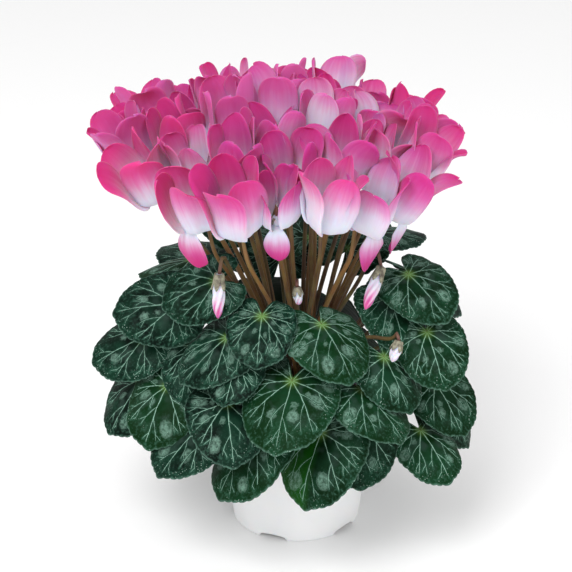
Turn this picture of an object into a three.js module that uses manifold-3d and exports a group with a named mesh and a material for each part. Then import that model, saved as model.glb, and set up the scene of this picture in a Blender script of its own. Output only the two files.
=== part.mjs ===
// A florist's cyclamen in a plain white nursery pot, in millimetres, +Z up.
// The origin lies where the pot stands, under the middle of the whole plant. The front faces -Y.
// The plant leans a little to -X.
// Its flowers form a low dome on bare stalks above a mound of heart-shaped leaves.
// All sizes and places are about the pot's axis, and the whole is moved onto the origin at the end.
import * as THREE from "three";
import { mergeVertices } from "three/addons/utils/BufferGeometryUtils.js";
import Module from "manifold-3d";

const wasm = await Module();
wasm.setup();

// Where the pot's axis stands
const POT_AXIS = { x: 7.6, y: 3.5 };

// Pot, soil and tuber
const POT = { height: 95, footRadius: 45, rimRadius: 60, wall: 1.6, sides: 20 };
const RIM = { height: 12, overhang: 4, taper: 1.2, ease: 0.8 };
const FEET = { count: 5, height: 4, width: 3, turn: -76, notch: 28, cut: 9, web: 0.2 };
const DRAIN = { radius: 4, inset: 15, sides: 8 };
const SOIL_TOP = 84;
const TUBER = { radius: 31, top: 100, flat: 27, depth: 16, shoulder: 8, bowlRadius: 21.7, bowlDepth: 12 };
const GAP = 0.3;

// Leaves
const BLADE_THICKNESS = 0.8;
const LEAF_RINGS = [0.55, 1];
// How far the blade curves down towards its tip and its sides, in radians at one blade length, and its waves
const BLADE_CURVE = { along: 0.5, across: 0.75, vary: 0.25, wave: 0.045, waves: 3, shift: 3 };
// The leaf stalk: its ends and the points that steer it, as shares of the blade's length
const PETIOLE = { radius: 1.6, sides: 3, rings: [0, 0.4, 1], end: -0.06, behind: -0.2, below: -0.35 };
// How the leaf stalk sets off: how far outward and upward, and its least rise in mm
const PETIOLE_RISE = { outward: 0.3, upward: 0.45, least: 10 };
const KNOB = { sides: 8, taper: 0.8 };
const LEAF_KNOB = { ring: 21, radius: 4.2, height: 5, stretch: 1.4, count: 10 };
// Where leaf stalks start on their knob: low leaves start further out
const ROOT_SPREAD = { across: 4, outward: 1.8, middle: 150, range: 50 };
// Distance from the stalk to the margin, as a share of the blade's length, against the angle from the tip
const LEAF_OUTLINE = [
  [0, 1], [25, 0.87], [55, 0.7], [90, 0.61], [125, 0.56], [152, 0.46], [180, 0.06],
];
// Leaves that face the front and sides, chosen by eye:
// [azimuth, radius and height of the stalk's end, turn of the tip, droop, blade length, roll]
const FRONT_LEAVES = [
  [-107, 78, 186, 9, 28, 38, 0],
  [-78, 76, 180, 14, 20, 48, 0],
  [-34, 74, 184, -32, 30, 41, -6],
  [-29, 84, 201, -22, 18, 43, 15],
  [-134, 76, 202, -40, 18, 42, -35],
  [-122, 86, 170, -34, 28, 44, -15],
  [-150, 92, 182, -30, 4, 46, -45],
  [-143, 84, 154, 28, 48, 42, 0],
  [-115, 92, 157, 3, 31, 32, 0],
  [-92, 96, 150, -14, 29, 53, 0],
  [-117, 100, 131, 36, 26, 46, 0],
  [-65, 98, 141, 20, 24, 46, 0],
  [-53, 94, 157, 4, 38, 42, 0],
  [-35, 104, 168, -34, 32, 42, 10],
  [-162, 108, 152, -14, 20, 43, -35],
  [-162, 110, 121, 12, 42, 46, -10],
  [-148, 102, 126, 30, 40, 46, 0],
  [-131, 96, 106, -10, 24, 46, -10],
  [-106, 90, 109, -42, 40, 54, 0],
  [-80, 92, 110, -44, 54, 54, 0],
  [-63, 89, 113, -20, 58, 48, 0],
  [-37, 104, 97, -16, 28, 42, 0],
  [-24, 102, 122, -24, 32, 42, 10],
  [-12, 102, 104, -16, 44, 44, 0],
];
// Leaves of the far side, ring by ring: first azimuth, how many, step, radius, height, droop and blade
// length, and how many mm higher and degrees flatter a leaf at the very back lies
const BACK_RINGS = [
  { from: 2, count: 5, step: 40, radius: 79, height: 188, lift: 0, droop: 26, flatter: 45, length: 45 },
  { from: -8, count: 6, step: 36, radius: 84, height: 160, lift: 7, droop: 36, flatter: 70, length: 46 },
  { from: 8, count: 6, step: 33, radius: 98, height: 132, lift: 0, droop: 44, flatter: 0, length: 48 },
  { from: 22, count: 5, step: 38, radius: 94, height: 105, lift: 0, droop: 54, flatter: 0, length: 53 },
];
const LEAF_JITTER = {
  azimuth: 2, radius: 2, zigzag: 5, height: 2, turn: 10, droop: 5, length: 0.07, roll: 6,
};

// Flowers
const STALK = { radius: 1.7, sides: 4, steps: 3 };
const STALK_KNOB = { ring: 10, radius: 5.6, height: 5, stretch: 1, count: 5 };
const STALK_SPREAD = 3.8;
const STALK_RISE = { outward: 0.1, upward: 0.4 };
// Where a flower's stalk ends and the point that steers it there, in the flower's own frame
const STALK_TOP = { behind: 1, below: 1.8 };
const STALK_BEND = { behind: 5, below: 42 };
const FLOWER_CENTRE = new THREE.Vector2(-13, 0);
// Flowers of the front edge, chosen by eye:
// [azimuth, radius and height of the mouth, tilt outward, size, whether one petal hangs down]
const FRONT_FLOWERS = [
  [-150, 91, 258, 30, 1, false],
  [-123, 92, 251, 22, 1, true],
  [-105, 95, 252, 16, 1, false],
  [-90, 87, 255, 12, 0.8, true],
  [-71, 95, 255, 16, 0.97, false],
  [-53, 94, 249, 20, 1, true],
  [-36, 93, 250, 26, 0.95, true],
  [-13, 90, 261, 30, 1, false],
];
// The others, ring by ring: first azimuth, how many, step, radius, height, tilt outward
const FLOWER_RINGS = [
  { from: 8, count: 10, step: 20, radius: 94.5, height: 261, tilt: 20 },
  { from: -142, count: 12, step: 30, radius: 64, height: 264, tilt: 12.5 },
  { from: -96, count: 6, step: 60, radius: 33, height: 279, tilt: 7 },
  { from: 60, count: 1, step: 0, radius: 1, height: 288, tilt: 4 },
];
const FLOWER_JITTER = { azimuth: 1, radius: 1, zigzag: 4, height: 2, tilt: 3, size: 0.03 };
const FLOWER_SIZE = 0.95;
// How much the petals spread towards their tips in mm, and turn about their length in degrees
const PETAL_FLARE = { mean: 0.7, vary: 0.7 };
const PETAL_TWIST = { mean: 19, vary: 2 };
const PETAL_JITTER = { azimuth: 2.4, hanging: 6, lean: 0.7, skew: 3 };
// The edges of a petal curve in towards the flower's axis by this much
const PETAL_CUP = 1.2;
const PETAL_THICKNESS = 0.75;
const PETAL_HEIGHT = 40;
// Where the petals stand round an ordinary flower, and round one whose third petal hangs
const PETALS_AROUND = [-144, -72, 0, 72, 144];
const PETALS_AROUND_HANGING = [-122, -50, 0, 50, 122];
// The mouth of a flower, from which the petals fold back
const MOUTH = { radius: 5.5, height: -1, halfAngle: 18 };
// Rows across a petal from the mouth to the tip. "faces" is the slope of the outer face, in degrees.
const PETAL_UP = [
  { radius: 11.5, height: 3, width: 15, points: 3, twist: 0.8, faces: -30 },
  { radius: 13, height: 22, width: 22, points: 3, twist: 1, faces: 0 },
  { radius: 13, height: PETAL_HEIGHT, width: 10, points: 2, twist: 1, faces: 0 },
];
const PETAL_DOWN = [
  { radius: 8, height: -4, width: 9, points: 3, twist: 0, faces: -130 },
  { radius: 11, height: -14, width: 18, points: 3, twist: 0, faces: 180 },
  { radius: 10, height: -27, width: 8, points: 2, twist: 0, faces: 180 },
];

// Buds: radius, azimuth and height of the neck, which way and how far the tip swings from straight down,
// length, width, and the point that steers the stalk, given like the neck
const BUDS = [
  { neck: [87, -125, 214], heading: -110, swing: 6, length: 30, width: 8, from: [59, -125, 182] },
  { neck: [76, -44, 211], heading: -124, swing: 40, length: 30, width: 8, from: [50, -44, 179] },
  { neck: [104, -51, 171], heading: -130, swing: 30, length: 14, width: 7, from: [76, -60, 172] },
  { neck: [60, -90, 200], heading: -60, swing: 10, length: 12, width: 6, from: [36, -90, 168] },
];
// The hook over a bud: where it starts and how high it arches, as shares of the bud's length
const BUD_HOOK = { inward: 0.3, above: 0.13, arch: 0.23, middle: 0.5, radius: 1.2, steps: 4, neck: 1 };
// Section of a bud from its tip to its neck: share of the length, share of half the width
const BUD_OUTLINE = [[0, 0], [0.12, 0.6], [0.5, 1], [0.82, 0.75], [0.93, 1.1], [1, 0.4]];
const BUD_SIDES = 6;

const rad = THREE.MathUtils.degToRad;
const UP = new THREE.Vector3(0, 0, 1);

const material = (color, roughness) => new THREE.MeshStandardMaterial({ color, roughness, metalness: 0 });
const potMaterial = material(0xeef0ef, 0.45);
const soilMaterial = material(0x2b201a, 0.95);
const tuberMaterial = material(0x4a3526, 0.9);
const leafMaterial = material(0x1f4a33, 0.5);
const stalkMaterial = material(0x6b5436, 0.6);
const petalMaterial = material(0xd9478f, 0.55);

const plant = new THREE.Group();

// A steady number from -1 to 1 for item i and purpose k.
function vary(i, k) {
  const wave = Math.sin(i * 12.9898 + k * 78.233) * 43758.5453;
  return 2 * (wave - Math.floor(wave)) - 1;
}

function solidOf(geometry) {
  const bare = geometry.clone();
  bare.deleteAttribute("normal");
  bare.deleteAttribute("uv");
  const merged = mergeVertices(bare, 1e-4);
  return new wasm.Manifold(
    new wasm.Mesh({
      numProp: 3,
      vertProperties: new Float32Array(merged.attributes.position.array),
      triVerts: new Uint32Array(merged.index.array),
    }),
  );
}

function addPiece(name, solid, look) {
  const { vertProperties, triVerts } = solid.getMesh();
  const geometry = new THREE.BufferGeometry()
    .setAttribute("position", new THREE.BufferAttribute(vertProperties, 3))
    .setIndex(new THREE.BufferAttribute(triVerts, 1));
  const mesh = new THREE.Mesh(geometry, look);
  mesh.name = name;
  plant.add(mesh);
}

// A lathe solid about +Z from [radius, height] points that run anticlockwise round its section.
function turned(points, sides, place = new THREE.Matrix4()) {
  const profile = points.map(([radius, height]) => new THREE.Vector2(radius, height));
  return solidOf(new THREE.LatheGeometry(profile, sides).rotateX(Math.PI / 2).applyMatrix4(place));
}

function tube(curve, radius, sides, steps) {
  const section = new THREE.Shape();
  for (let i = 0; i < sides; i++) {
    const angle = (2 * Math.PI * i) / sides;
    const point = [radius * Math.cos(angle), radius * Math.sin(angle)];
    if (i === 0) section.moveTo(...point);
    else section.lineTo(...point);
  }
  section.closePath();
  return solidOf(new THREE.ExtrudeGeometry(section, { steps, extrudePath: curve, curveSegments: 1 }));
}

// Triangles between two rows of point numbers, which may differ in length.
function strip(near, far, farFirst = false) {
  const faces = [];
  let i = 0;
  let j = 0;
  while (i < near.length - 1 || j < far.length - 1) {
    const lead = (i + 1) * (far.length - 1) - (j + 1) * (near.length - 1);
    const nearTurn = farFirst ? lead < 0 : lead <= 0;
    if (j === far.length - 1 || (i < near.length - 1 && nearTurn)) {
      faces.push([near[i], near[i + 1], far[j]]);
      i++;
    } else {
      faces.push([near[i], far[j + 1], far[j]]);
      j++;
    }
  }
  return faces;
}

function solidFrom(points, faces) {
  const geometry = new THREE.BufferGeometry()
    .setAttribute("position", new THREE.Float32BufferAttribute(points.flatMap((point) => point.toArray()), 3))
    .setIndex(faces.flat());
  return solidOf(geometry);
}

// A closed solid through rings of points, from a single point to a single point.
// Past the widest ring the triangles are split the other way, so both faces of a blade match.
function loft(rings, widest) {
  let next = 0;
  const rows = rings.map((ring) => {
    const numbers = ring.map(() => next++);
    return ring.length > 1 ? [...numbers, numbers[0]] : numbers;
  });
  const faces = rows.slice(1).flatMap((row, i) => strip(rows[i], row, i >= widest));
  return solidFrom(rings.flat(), faces);
}

// A thin closed solid from the points and faces of its outer skin and the matching points of its inner skin.
function sheet(outer, inner, faces) {
  const count = outer.length;
  const sidesOf = ([a, b, c]) => [[a, b], [b, c], [c, a]];
  const inside = new Set(faces.flatMap(sidesOf).map(([a, b]) => `${b},${a}`));
  const skins = faces.flatMap(([a, b, c]) => [[a, b, c], [a + count, c + count, b + count]]);
  const rim = faces
    .flatMap(sidesOf)
    .filter(([from, to]) => !inside.has(`${from},${to}`))
    .flatMap(([from, to]) => [[to, from, from + count], [to, from + count, to + count]]);
  return solidFrom([...outer, ...inner], [...skins, ...rim]);
}

function addPot() {
  const { height, footRadius, rimRadius, wall, sides } = POT;
  const { ease, taper } = RIM;
  const under = rimRadius - RIM.overhang;
  const band = height - RIM.height;
  const insideFoot = footRadius - FEET.width;
  const floor = FEET.height + wall;
  let pot = turned(
    [
      [0, FEET.height], [insideFoot, FEET.height], [insideFoot, 0], [footRadius - ease, 0],
      [footRadius, ease], [under, band], [rimRadius - taper, band], [rimRadius, height - ease],
      [rimRadius - ease, height], [rimRadius - wall - taper, height], [under - wall, band],
      [footRadius - wall, floor], [0, floor],
    ],
    sides,
  );
  const notchWidth = 2 * footRadius * Math.sin(rad(FEET.notch / 2));
  for (let i = 0; i < FEET.count; i++) {
    const turn = rad(FEET.turn + (360 / FEET.count) * (i + 0.5));
    const notch = new THREE.BoxGeometry(FEET.cut, notchWidth, 2 * (FEET.height - FEET.web))
      .translate(footRadius - FEET.width / 2, 0, 0)
      .rotateZ(turn);
    pot = pot.subtract(solidOf(notch));
    const drain = new THREE.CylinderGeometry(DRAIN.radius, DRAIN.radius, 4 * wall, DRAIN.sides)
      .rotateX(Math.PI / 2)
      .translate(footRadius - DRAIN.inset, 0, FEET.height + wall / 2)
      .rotateZ(turn);
    pot = pot.subtract(solidOf(drain));
  }
  addPiece("pot", pot, potMaterial);
}

function addSoil() {
  const clear = POT.wall + 2 * GAP;
  const low = FEET.height + POT.wall + GAP;
  const lowRadius = POT.footRadius - clear;
  const topRadius = POT.rimRadius - RIM.overhang - clear;
  const soil = turned(
    [
      [0, low], [lowRadius, low], [topRadius, POT.height - RIM.height], [topRadius, SOIL_TOP],
      [TUBER.radius + 2 * GAP, SOIL_TOP], [TUBER.bowlRadius, SOIL_TOP - TUBER.bowlDepth - GAP],
      [0, SOIL_TOP - TUBER.depth - GAP],
    ],
    POT.sides,
  );
  addPiece("soil", soil, soilMaterial);
}

function addTuber() {
  const { radius, top, flat, depth, shoulder, bowlRadius, bowlDepth } = TUBER;
  const tuber = turned(
    [
      [0, SOIL_TOP - depth], [bowlRadius - GAP, SOIL_TOP - bowlDepth], [radius, SOIL_TOP],
      [radius, SOIL_TOP + shoulder], [flat, top], [0, top],
    ],
    POT.sides / 2,
  );
  addPiece("tuber", tuber, tuberMaterial);
}

// The little woody knob on the tuber from which a group of stalks grows.
function knob({ ring, radius, height, stretch }, azimuth) {
  const shape = new THREE.CylinderGeometry(radius * KNOB.taper, radius, height, KNOB.sides)
    .rotateX(Math.PI / 2)
    .scale(1, stretch, 1)
    .translate(ring, 0, TUBER.top + GAP + height / 2)
    .rotateZ(rad(azimuth));
  return solidOf(shape);
}

function polar(radius, azimuth, height) {
  return new THREE.Vector3(radius * Math.cos(rad(azimuth)), radius * Math.sin(rad(azimuth)), height);
}

// A point of a leaf's upper face: share of the way to the margin, and the outline's [angle, radius].
function leafPoint(leaf, share, [angle, radius], side) {
  const { length, number } = leaf;
  const reach = share * radius * length;
  const x = reach * Math.cos(rad(angle));
  const y = reach * Math.sin(rad(angle)) * side;
  const bendX = BLADE_CURVE.along / length;
  const bendY = (BLADE_CURVE.across + BLADE_CURVE.vary * vary(number, 1)) / length;
  const phase = rad(angle * side * BLADE_CURVE.waves) + BLADE_CURVE.shift * vary(number, 2);
  const wave = BLADE_CURVE.wave * share * reach * Math.sin(phase);
  const z = -(1 - Math.cos(bendX * x)) / bendX - (1 - Math.cos(bendY * y)) / bendY + wave;
  return new THREE.Vector3(Math.sin(bendX * x) / bendX, Math.sin(bendY * y) / bendY, z);
}

// The frame of a leaf: its stalk's end at the origin, its tip along +X.
function leafFrame({ azimuth, radius, height, turn, droop, roll }) {
  const place = new THREE.Matrix4().makeTranslation(polar(radius, azimuth, height));
  place.multiply(new THREE.Matrix4().makeRotationZ(rad(azimuth + turn)));
  place.multiply(new THREE.Matrix4().makeRotationY(rad(droop)));
  return place.multiply(new THREE.Matrix4().makeRotationX(rad(roll)));
}

// Blade and stalk in one skin: up the stalk, out under the blade, round the margin and back over the top.
function leafSolid(leaf) {
  const place = leafFrame(leaf);
  const margin = [
    ...LEAF_OUTLINE.map((point) => [point, 1]),
    ...LEAF_OUTLINE.slice(1, -1).reverse().map((point) => [point, -1]),
  ];
  const ring = (share, drop) =>
    margin.map(([point, side]) => {
      const p = leafPoint(leaf, share, point, side);
      return p.setZ(p.z - drop).applyMatrix4(place);
    });
  const inPlace = (x, z) => new THREE.Vector3(x * leaf.length, 0, z * leaf.length).applyMatrix4(place);
  const end = inPlace(0, PETIOLE.end);
  const rise = leaf.root.clone().lerp(end, PETIOLE_RISE.outward);
  const raised = leaf.root.z + PETIOLE_RISE.upward * (end.z - leaf.root.z) + PETIOLE_RISE.least;
  rise.z = Math.max(rise.z, raised);
  const path = new THREE.CubicBezierCurve3(leaf.root, rise, inPlace(PETIOLE.behind, PETIOLE.below), end);
  const turn = rad(leaf.azimuth + leaf.turn);
  const level = new THREE.Vector3(-Math.sin(turn), Math.cos(turn), 0);
  const corners = Array.from({ length: PETIOLE.sides }, (_, i) => (2 * Math.PI * i) / PETIOLE.sides);
  const stalk = PETIOLE.rings.map((share) => {
    const along = path.getTangent(share);
    const over = new THREE.Vector3().crossVectors(level, along).normalize();
    const across = new THREE.Vector3().crossVectors(along, over);
    return corners.map((angle) =>
      path
        .getPoint(share)
        .addScaledVector(over, PETIOLE.radius * Math.cos(angle))
        .addScaledVector(across, PETIOLE.radius * Math.sin(angle)),
    );
  });
  const under = LEAF_RINGS.map((share) => ring(share, BLADE_THICKNESS));
  const over = LEAF_RINGS.map((share) => ring(share, 0)).reverse();
  return loft([[leaf.root], ...stalk, ...under, ...over, [inPlace(0, 0)]], stalk.length + under.length);
}

function addLeaves() {
  const leaves = FRONT_LEAVES.map(([azimuth, radius, height, turn, droop, length, roll]) => ({
    azimuth, radius, height, turn, droop, length, roll,
  }));
  BACK_RINGS.forEach(({ from, count, step, radius, height, lift, droop, flatter, length }, ring) => {
    for (let i = 0; i < count; i++) {
      const n = 10 * ring + i;
      const zigzag = (i + ring) % 2 ? LEAF_JITTER.zigzag : -LEAF_JITTER.zigzag;
      const back = Math.sin(rad(from + step * i));
      leaves.push({
        azimuth: from + step * i + LEAF_JITTER.azimuth * vary(n, 4),
        radius: radius + LEAF_JITTER.radius * vary(n, 5),
        height: height + lift * back + zigzag + LEAF_JITTER.height * vary(n, 6),
        turn: LEAF_JITTER.turn * vary(n, 7),
        droop: droop - flatter * back + LEAF_JITTER.droop * vary(n, 8),
        length: length * (1 + LEAF_JITTER.length * vary(n, 9)),
        roll: LEAF_JITTER.roll * vary(n, 3),
      });
    }
  });
  const sector = 360 / LEAF_KNOB.count;
  const groups = Array.from({ length: LEAF_KNOB.count }, (_, i) => knob(LEAF_KNOB, sector * i));
  leaves.forEach((leaf, number) => {
    const group = (Math.round(leaf.azimuth / sector) + LEAF_KNOB.count) % LEAF_KNOB.count;
    const off = THREE.MathUtils.euclideanModulo(leaf.azimuth - sector * group + 180, 360) - 180;
    const low = (ROOT_SPREAD.middle - leaf.height) / ROOT_SPREAD.range;
    const root = new THREE.Vector3(
      LEAF_KNOB.ring + ROOT_SPREAD.outward * low,
      (ROOT_SPREAD.across * off) / (sector / 2),
      TUBER.top + 0.5 * LEAF_KNOB.height,
    ).applyAxisAngle(UP, rad(sector * group));
    groups[group] = groups[group].add(leafSolid({ ...leaf, number, root }));
  });
  groups.forEach((solid, i) => addPiece(`leaves_${String(i + 1).padStart(2, "0")}`, solid, leafMaterial));
}

// A point at a radius and height, moved along the tangent there.
function around(radius, along, height, azimuth) {
  const [cos, sin] = [Math.cos(rad(azimuth)), Math.sin(rad(azimuth))];
  return new THREE.Vector3(radius * cos - along * sin, radius * sin + along * cos, height);
}

// One row across a petal, sunk by drop below its outer skin, in the flower's own frame.
function petalRow(flower, petal, row, drop) {
  const faces = rad(row.faces);
  const turn = rad(flower.twist * row.twist);
  const high = Math.max(0, row.height / PETAL_HEIGHT);
  const centre = row.radius + (flower.flare + petal.lean) * high - drop * Math.cos(faces);
  const height = row.height - drop * Math.sin(faces);
  return Array.from({ length: row.points }, (_, i) => {
    const across = -1 + (2 * i) / (row.points - 1);
    const side = (across * row.width) / 2;
    const cup = across ? -PETAL_CUP : 0;
    const slant = row.points === 2 ? across * petal.skew : 0;
    return around(centre + cup + side * Math.sin(turn), side * Math.cos(turn), height + slant, petal.azimuth);
  });
}

// The mouth is a small disc. Each petal folds back from its own stretch of the disc's edge.
function flowerSolid(flower) {
  const place = flowerFrame(flower);
  const petals = (flower.hanging ? PETALS_AROUND_HANGING : PETALS_AROUND).map((azimuth, i) => {
    const n = 6 * flower.number + i;
    const hangs = flower.hanging && i === 2;
    return {
      azimuth: azimuth + (hangs ? PETAL_JITTER.hanging : PETAL_JITTER.azimuth) * vary(n, 20),
      lean: PETAL_JITTER.lean * vary(n, 21),
      skew: hangs ? 0 : PETAL_JITTER.skew * vary(n, 22),
      rows: hangs ? PETAL_DOWN : PETAL_UP,
    };
  });
  const skin = (drop) => {
    const height = MOUTH.height + drop;
    const edge = petals.flatMap(({ azimuth }) =>
      [-MOUTH.halfAngle, MOUTH.halfAngle].map((turn) => around(MOUTH.radius, 0, height, azimuth + turn)),
    );
    const blades = petals.flatMap((petal) => petal.rows.flatMap((row) => petalRow(flower, petal, row, drop)));
    return [new THREE.Vector3(0, 0, height), ...edge, ...blades].map((point) => point.applyMatrix4(place));
  };
  const edge = petals.flatMap((_, i) => [2 * i + 1, 2 * i + 2]);
  const faces = strip([0], [...edge, edge[0]]);
  let next = edge.length + 1;
  petals.forEach((petal, i) => {
    let near = [2 * i + 1, 2 * i + 2];
    for (const row of petal.rows) {
      const far = Array.from({ length: row.points }, () => next++);
      faces.push(...strip(near, far));
      near = far;
    }
  });
  return sheet(skin(0), skin(PETAL_THICKNESS), faces);
}

// The frame of a flower: its mouth at the origin, its petals up +Z.
function flowerFrame({ azimuth, radius, height, tilt, size }) {
  const foot = polar(radius, azimuth, height);
  foot.x += FLOWER_CENTRE.x;
  foot.y += FLOWER_CENTRE.y;
  const place = new THREE.Matrix4().makeTranslation(foot);
  place.multiply(new THREE.Matrix4().makeRotationZ(rad(azimuth)));
  place.multiply(new THREE.Matrix4().makeRotationY(rad(tilt)));
  return place.scale(new THREE.Vector3(size, size, size));
}

// The frame of a bud: its neck at the origin, its tip down -Z.
function budFrame({ neck, heading, swing }) {
  const place = new THREE.Matrix4().makeTranslation(polar(...neck));
  place.multiply(new THREE.Matrix4().makeRotationZ(rad(heading)));
  return place.multiply(new THREE.Matrix4().makeRotationY(rad(-swing)));
}

function budSolid(bud) {
  const outline = BUD_OUTLINE.map(([share, wide]) => [(wide * bud.width) / 2, (share - 1) * bud.length]);
  return turned([...outline, [0, 0]], BUD_SIDES, budFrame(bud));
}

// A knob of stalks for each sector of the tuber, to which each new stalk is added.
function stalkGroups() {
  const sector = 360 / STALK_KNOB.count;
  const groups = Array.from({ length: STALK_KNOB.count }, (_, i) => knob(STALK_KNOB, sector * i));
  const grow = (azimuth, end, lower, hook, arch) => {
    const group = (Math.round(azimuth / sector) + 2 * STALK_KNOB.count) % STALK_KNOB.count;
    const middle = polar(STALK_KNOB.ring, sector * group, 0);
    const root = end.clone().sub(middle).setZ(0).setLength(STALK_SPREAD).add(middle);
    root.z = TUBER.top + 0.5 * STALK_KNOB.height;
    const rise = root.clone().lerp(end, STALK_RISE.outward);
    rise.z = root.z + STALK_RISE.upward * (end.z - root.z);
    const stalk = new THREE.CubicBezierCurve3(root, rise, lower, hook ?? end);
    groups[group] = groups[group].add(tube(stalk, STALK.radius, STALK.sides, STALK.steps));
    if (hook) {
      const top = hook.clone().lerp(end, BUD_HOOK.middle).setZ(hook.z + arch);
      const over = new THREE.CatmullRomCurve3([hook, top, end]);
      groups[group] = groups[group].add(tube(over, BUD_HOOK.radius, STALK.sides, BUD_HOOK.steps));
    }
  };
  return { groups, grow };
}

function allFlowers() {
  const flowers = FRONT_FLOWERS.map(([azimuth, radius, height, tilt, size, hanging]) => ({
    azimuth, radius, height, tilt, size, hanging,
  }));
  for (const { from, count, step, radius, height, tilt } of FLOWER_RINGS) {
    for (let i = 0; i < count; i++) {
      const n = flowers.length;
      const zigzag = i % 2 ? FLOWER_JITTER.zigzag : -FLOWER_JITTER.zigzag;
      flowers.push({
        azimuth: from + step * i + FLOWER_JITTER.azimuth * vary(n, 10),
        radius: radius + FLOWER_JITTER.radius * vary(n, 11),
        height: height + zigzag + FLOWER_JITTER.height * vary(n, 12),
        tilt: tilt + FLOWER_JITTER.tilt * vary(n, 13),
        size: FLOWER_SIZE + FLOWER_JITTER.size * vary(n, 14),
        hanging: false,
      });
    }
  }
  return flowers.map((flower, i) => ({
    ...flower,
    number: i + 1,
    flare: PETAL_FLARE.mean + PETAL_FLARE.vary * vary(i, 15),
    twist: PETAL_TWIST.mean + PETAL_TWIST.vary * vary(i, 16),
  }));
}

function addFlowers() {
  const { groups, grow } = stalkGroups();
  for (const flower of allFlowers()) {
    addPiece(`flower_${String(flower.number).padStart(2, "0")}`, flowerSolid(flower), petalMaterial);
    const place = flowerFrame(flower);
    const end = new THREE.Vector3(-STALK_TOP.behind, 0, -STALK_TOP.below).applyMatrix4(place);
    const lower = new THREE.Vector3(-STALK_BEND.behind, 0, -STALK_BEND.below).applyMatrix4(place);
    grow(flower.azimuth, end, lower);
  }
  BUDS.forEach((bud, i) => {
    addPiece(`bud_${i + 1}`, budSolid(bud), petalMaterial);
    const place = budFrame(bud);
    const end = new THREE.Vector3(0, 0, BUD_HOOK.neck).applyMatrix4(place);
    const [radius, azimuth, height] = bud.neck;
    const hook = polar(radius - BUD_HOOK.inward * bud.length, azimuth, height + BUD_HOOK.above * bud.length);
    grow(azimuth, end, polar(...bud.from), hook, BUD_HOOK.arch * bud.length);
  });
  groups.forEach((solid, i) => addPiece(`flower_stalks_${i + 1}`, solid, stalkMaterial));
}

addPot();
addSoil();
addTuber();
addLeaves();
addFlowers();
plant.position.set(POT_AXIS.x, POT_AXIS.y, 0);

export default plant;
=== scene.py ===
"""A potted cyclamen in bloom, dressed for the picture. Metres, +Z up, front towards -Y.

Every piece stands for the plain solid of the same part. The rules that place leaves, flowers, buds
and stalks are those of the solids, so each finer piece lies where its solid does.
Lengths are in millimetres about the pot's axis until a piece is made.
"""

import math

import bpy
import numpy as np
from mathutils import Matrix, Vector


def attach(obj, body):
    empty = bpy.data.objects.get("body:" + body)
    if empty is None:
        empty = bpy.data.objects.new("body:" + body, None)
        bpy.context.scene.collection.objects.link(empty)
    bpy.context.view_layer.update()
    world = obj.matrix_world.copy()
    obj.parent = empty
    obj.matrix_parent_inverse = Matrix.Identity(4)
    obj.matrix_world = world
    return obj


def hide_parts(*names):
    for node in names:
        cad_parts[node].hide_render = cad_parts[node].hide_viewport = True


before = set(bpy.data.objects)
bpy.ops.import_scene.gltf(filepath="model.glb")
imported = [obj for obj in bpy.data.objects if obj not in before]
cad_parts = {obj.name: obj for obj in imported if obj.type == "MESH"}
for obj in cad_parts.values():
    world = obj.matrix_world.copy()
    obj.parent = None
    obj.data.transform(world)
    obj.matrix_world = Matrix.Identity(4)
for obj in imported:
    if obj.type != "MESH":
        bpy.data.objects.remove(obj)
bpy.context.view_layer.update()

MM = 0.001
POT_AXIS = np.array((7.6, 3.5, 0.0))

# Pot, soil and tuber, as in the solids
POT_HEIGHT = 95
FOOT_RADIUS = 45
RIM_RADIUS = 60
WALL = 1.6
FOOT_HEIGHT = 4
FOOT_COUNT = 5
FOOT_TURN = -76
ARCH_ANGLE = 14
ARCH_HEIGHT = 3.8
DRAIN_RADIUS = 4
DRAIN_RING = 30
SOIL_TOP = 84
TUBER_TOP = 100

# Leaves, as in the solids
LEAF_OUTLINE = ((0, 1), (25, 0.87), (55, 0.7), (90, 0.61), (125, 0.56), (152, 0.46), (180, 0.06))
BEND_ALONG = 0.5
BEND_ACROSS = 0.75
BEND_VARY = 0.25
WAVE = 0.045
LEAF_KNOB = {"ring": 21, "radius": 4.2, "height": 5, "stretch": 1.4, "count": 10}
FRONT_LEAVES = (
    (-107, 78, 186, 9, 28, 38, 0),
    (-78, 76, 180, 14, 20, 48, 0),
    (-34, 74, 184, -32, 30, 41, -6),
    (-29, 84, 201, -22, 18, 43, 15),
    (-134, 76, 202, -40, 18, 42, -35),
    (-122, 86, 170, -34, 28, 44, -15),
    (-150, 92, 182, -30, 4, 46, -45),
    (-143, 84, 154, 28, 48, 42, 0),
    (-115, 92, 157, 3, 31, 32, 0),
    (-92, 96, 150, -14, 29, 53, 0),
    (-117, 100, 131, 36, 26, 46, 0),
    (-65, 98, 141, 20, 24, 46, 0),
    (-53, 94, 157, 4, 38, 42, 0),
    (-35, 104, 168, -34, 32, 42, 10),
    (-162, 108, 152, -14, 20, 43, -35),
    (-162, 110, 121, 12, 42, 46, -10),
    (-148, 102, 126, 30, 40, 46, 0),
    (-131, 96, 106, -10, 24, 46, -10),
    (-106, 90, 109, -42, 40, 54, 0),
    (-80, 92, 110, -44, 54, 54, 0),
    (-63, 89, 113, -20, 58, 48, 0),
    (-37, 104, 97, -16, 28, 42, 0),
    (-24, 102, 122, -24, 32, 42, 10),
    (-12, 102, 104, -16, 44, 44, 0),
)
# First azimuth, how many, step, radius, height, lift, droop, how much flatter, blade length.
# The lift and the flatter lie are those of a leaf at the very back.
BACK_RINGS = (
    (2, 5, 40, 79, 188, 0, 26, 45, 45),
    (-8, 6, 36, 84, 160, 7, 36, 70, 46),
    (8, 6, 33, 98, 132, 0, 44, 0, 48),
    (22, 5, 38, 94, 105, 0, 54, 0, 53),
)
# How far leaves of the far side differ from the rule of their ring
LEAF_JITTER = {
    "azimuth": 2, "radius": 2, "zigzag": 5, "height": 2, "turn": 10, "droop": 5, "length": 0.07, "roll": 6,
}
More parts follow.
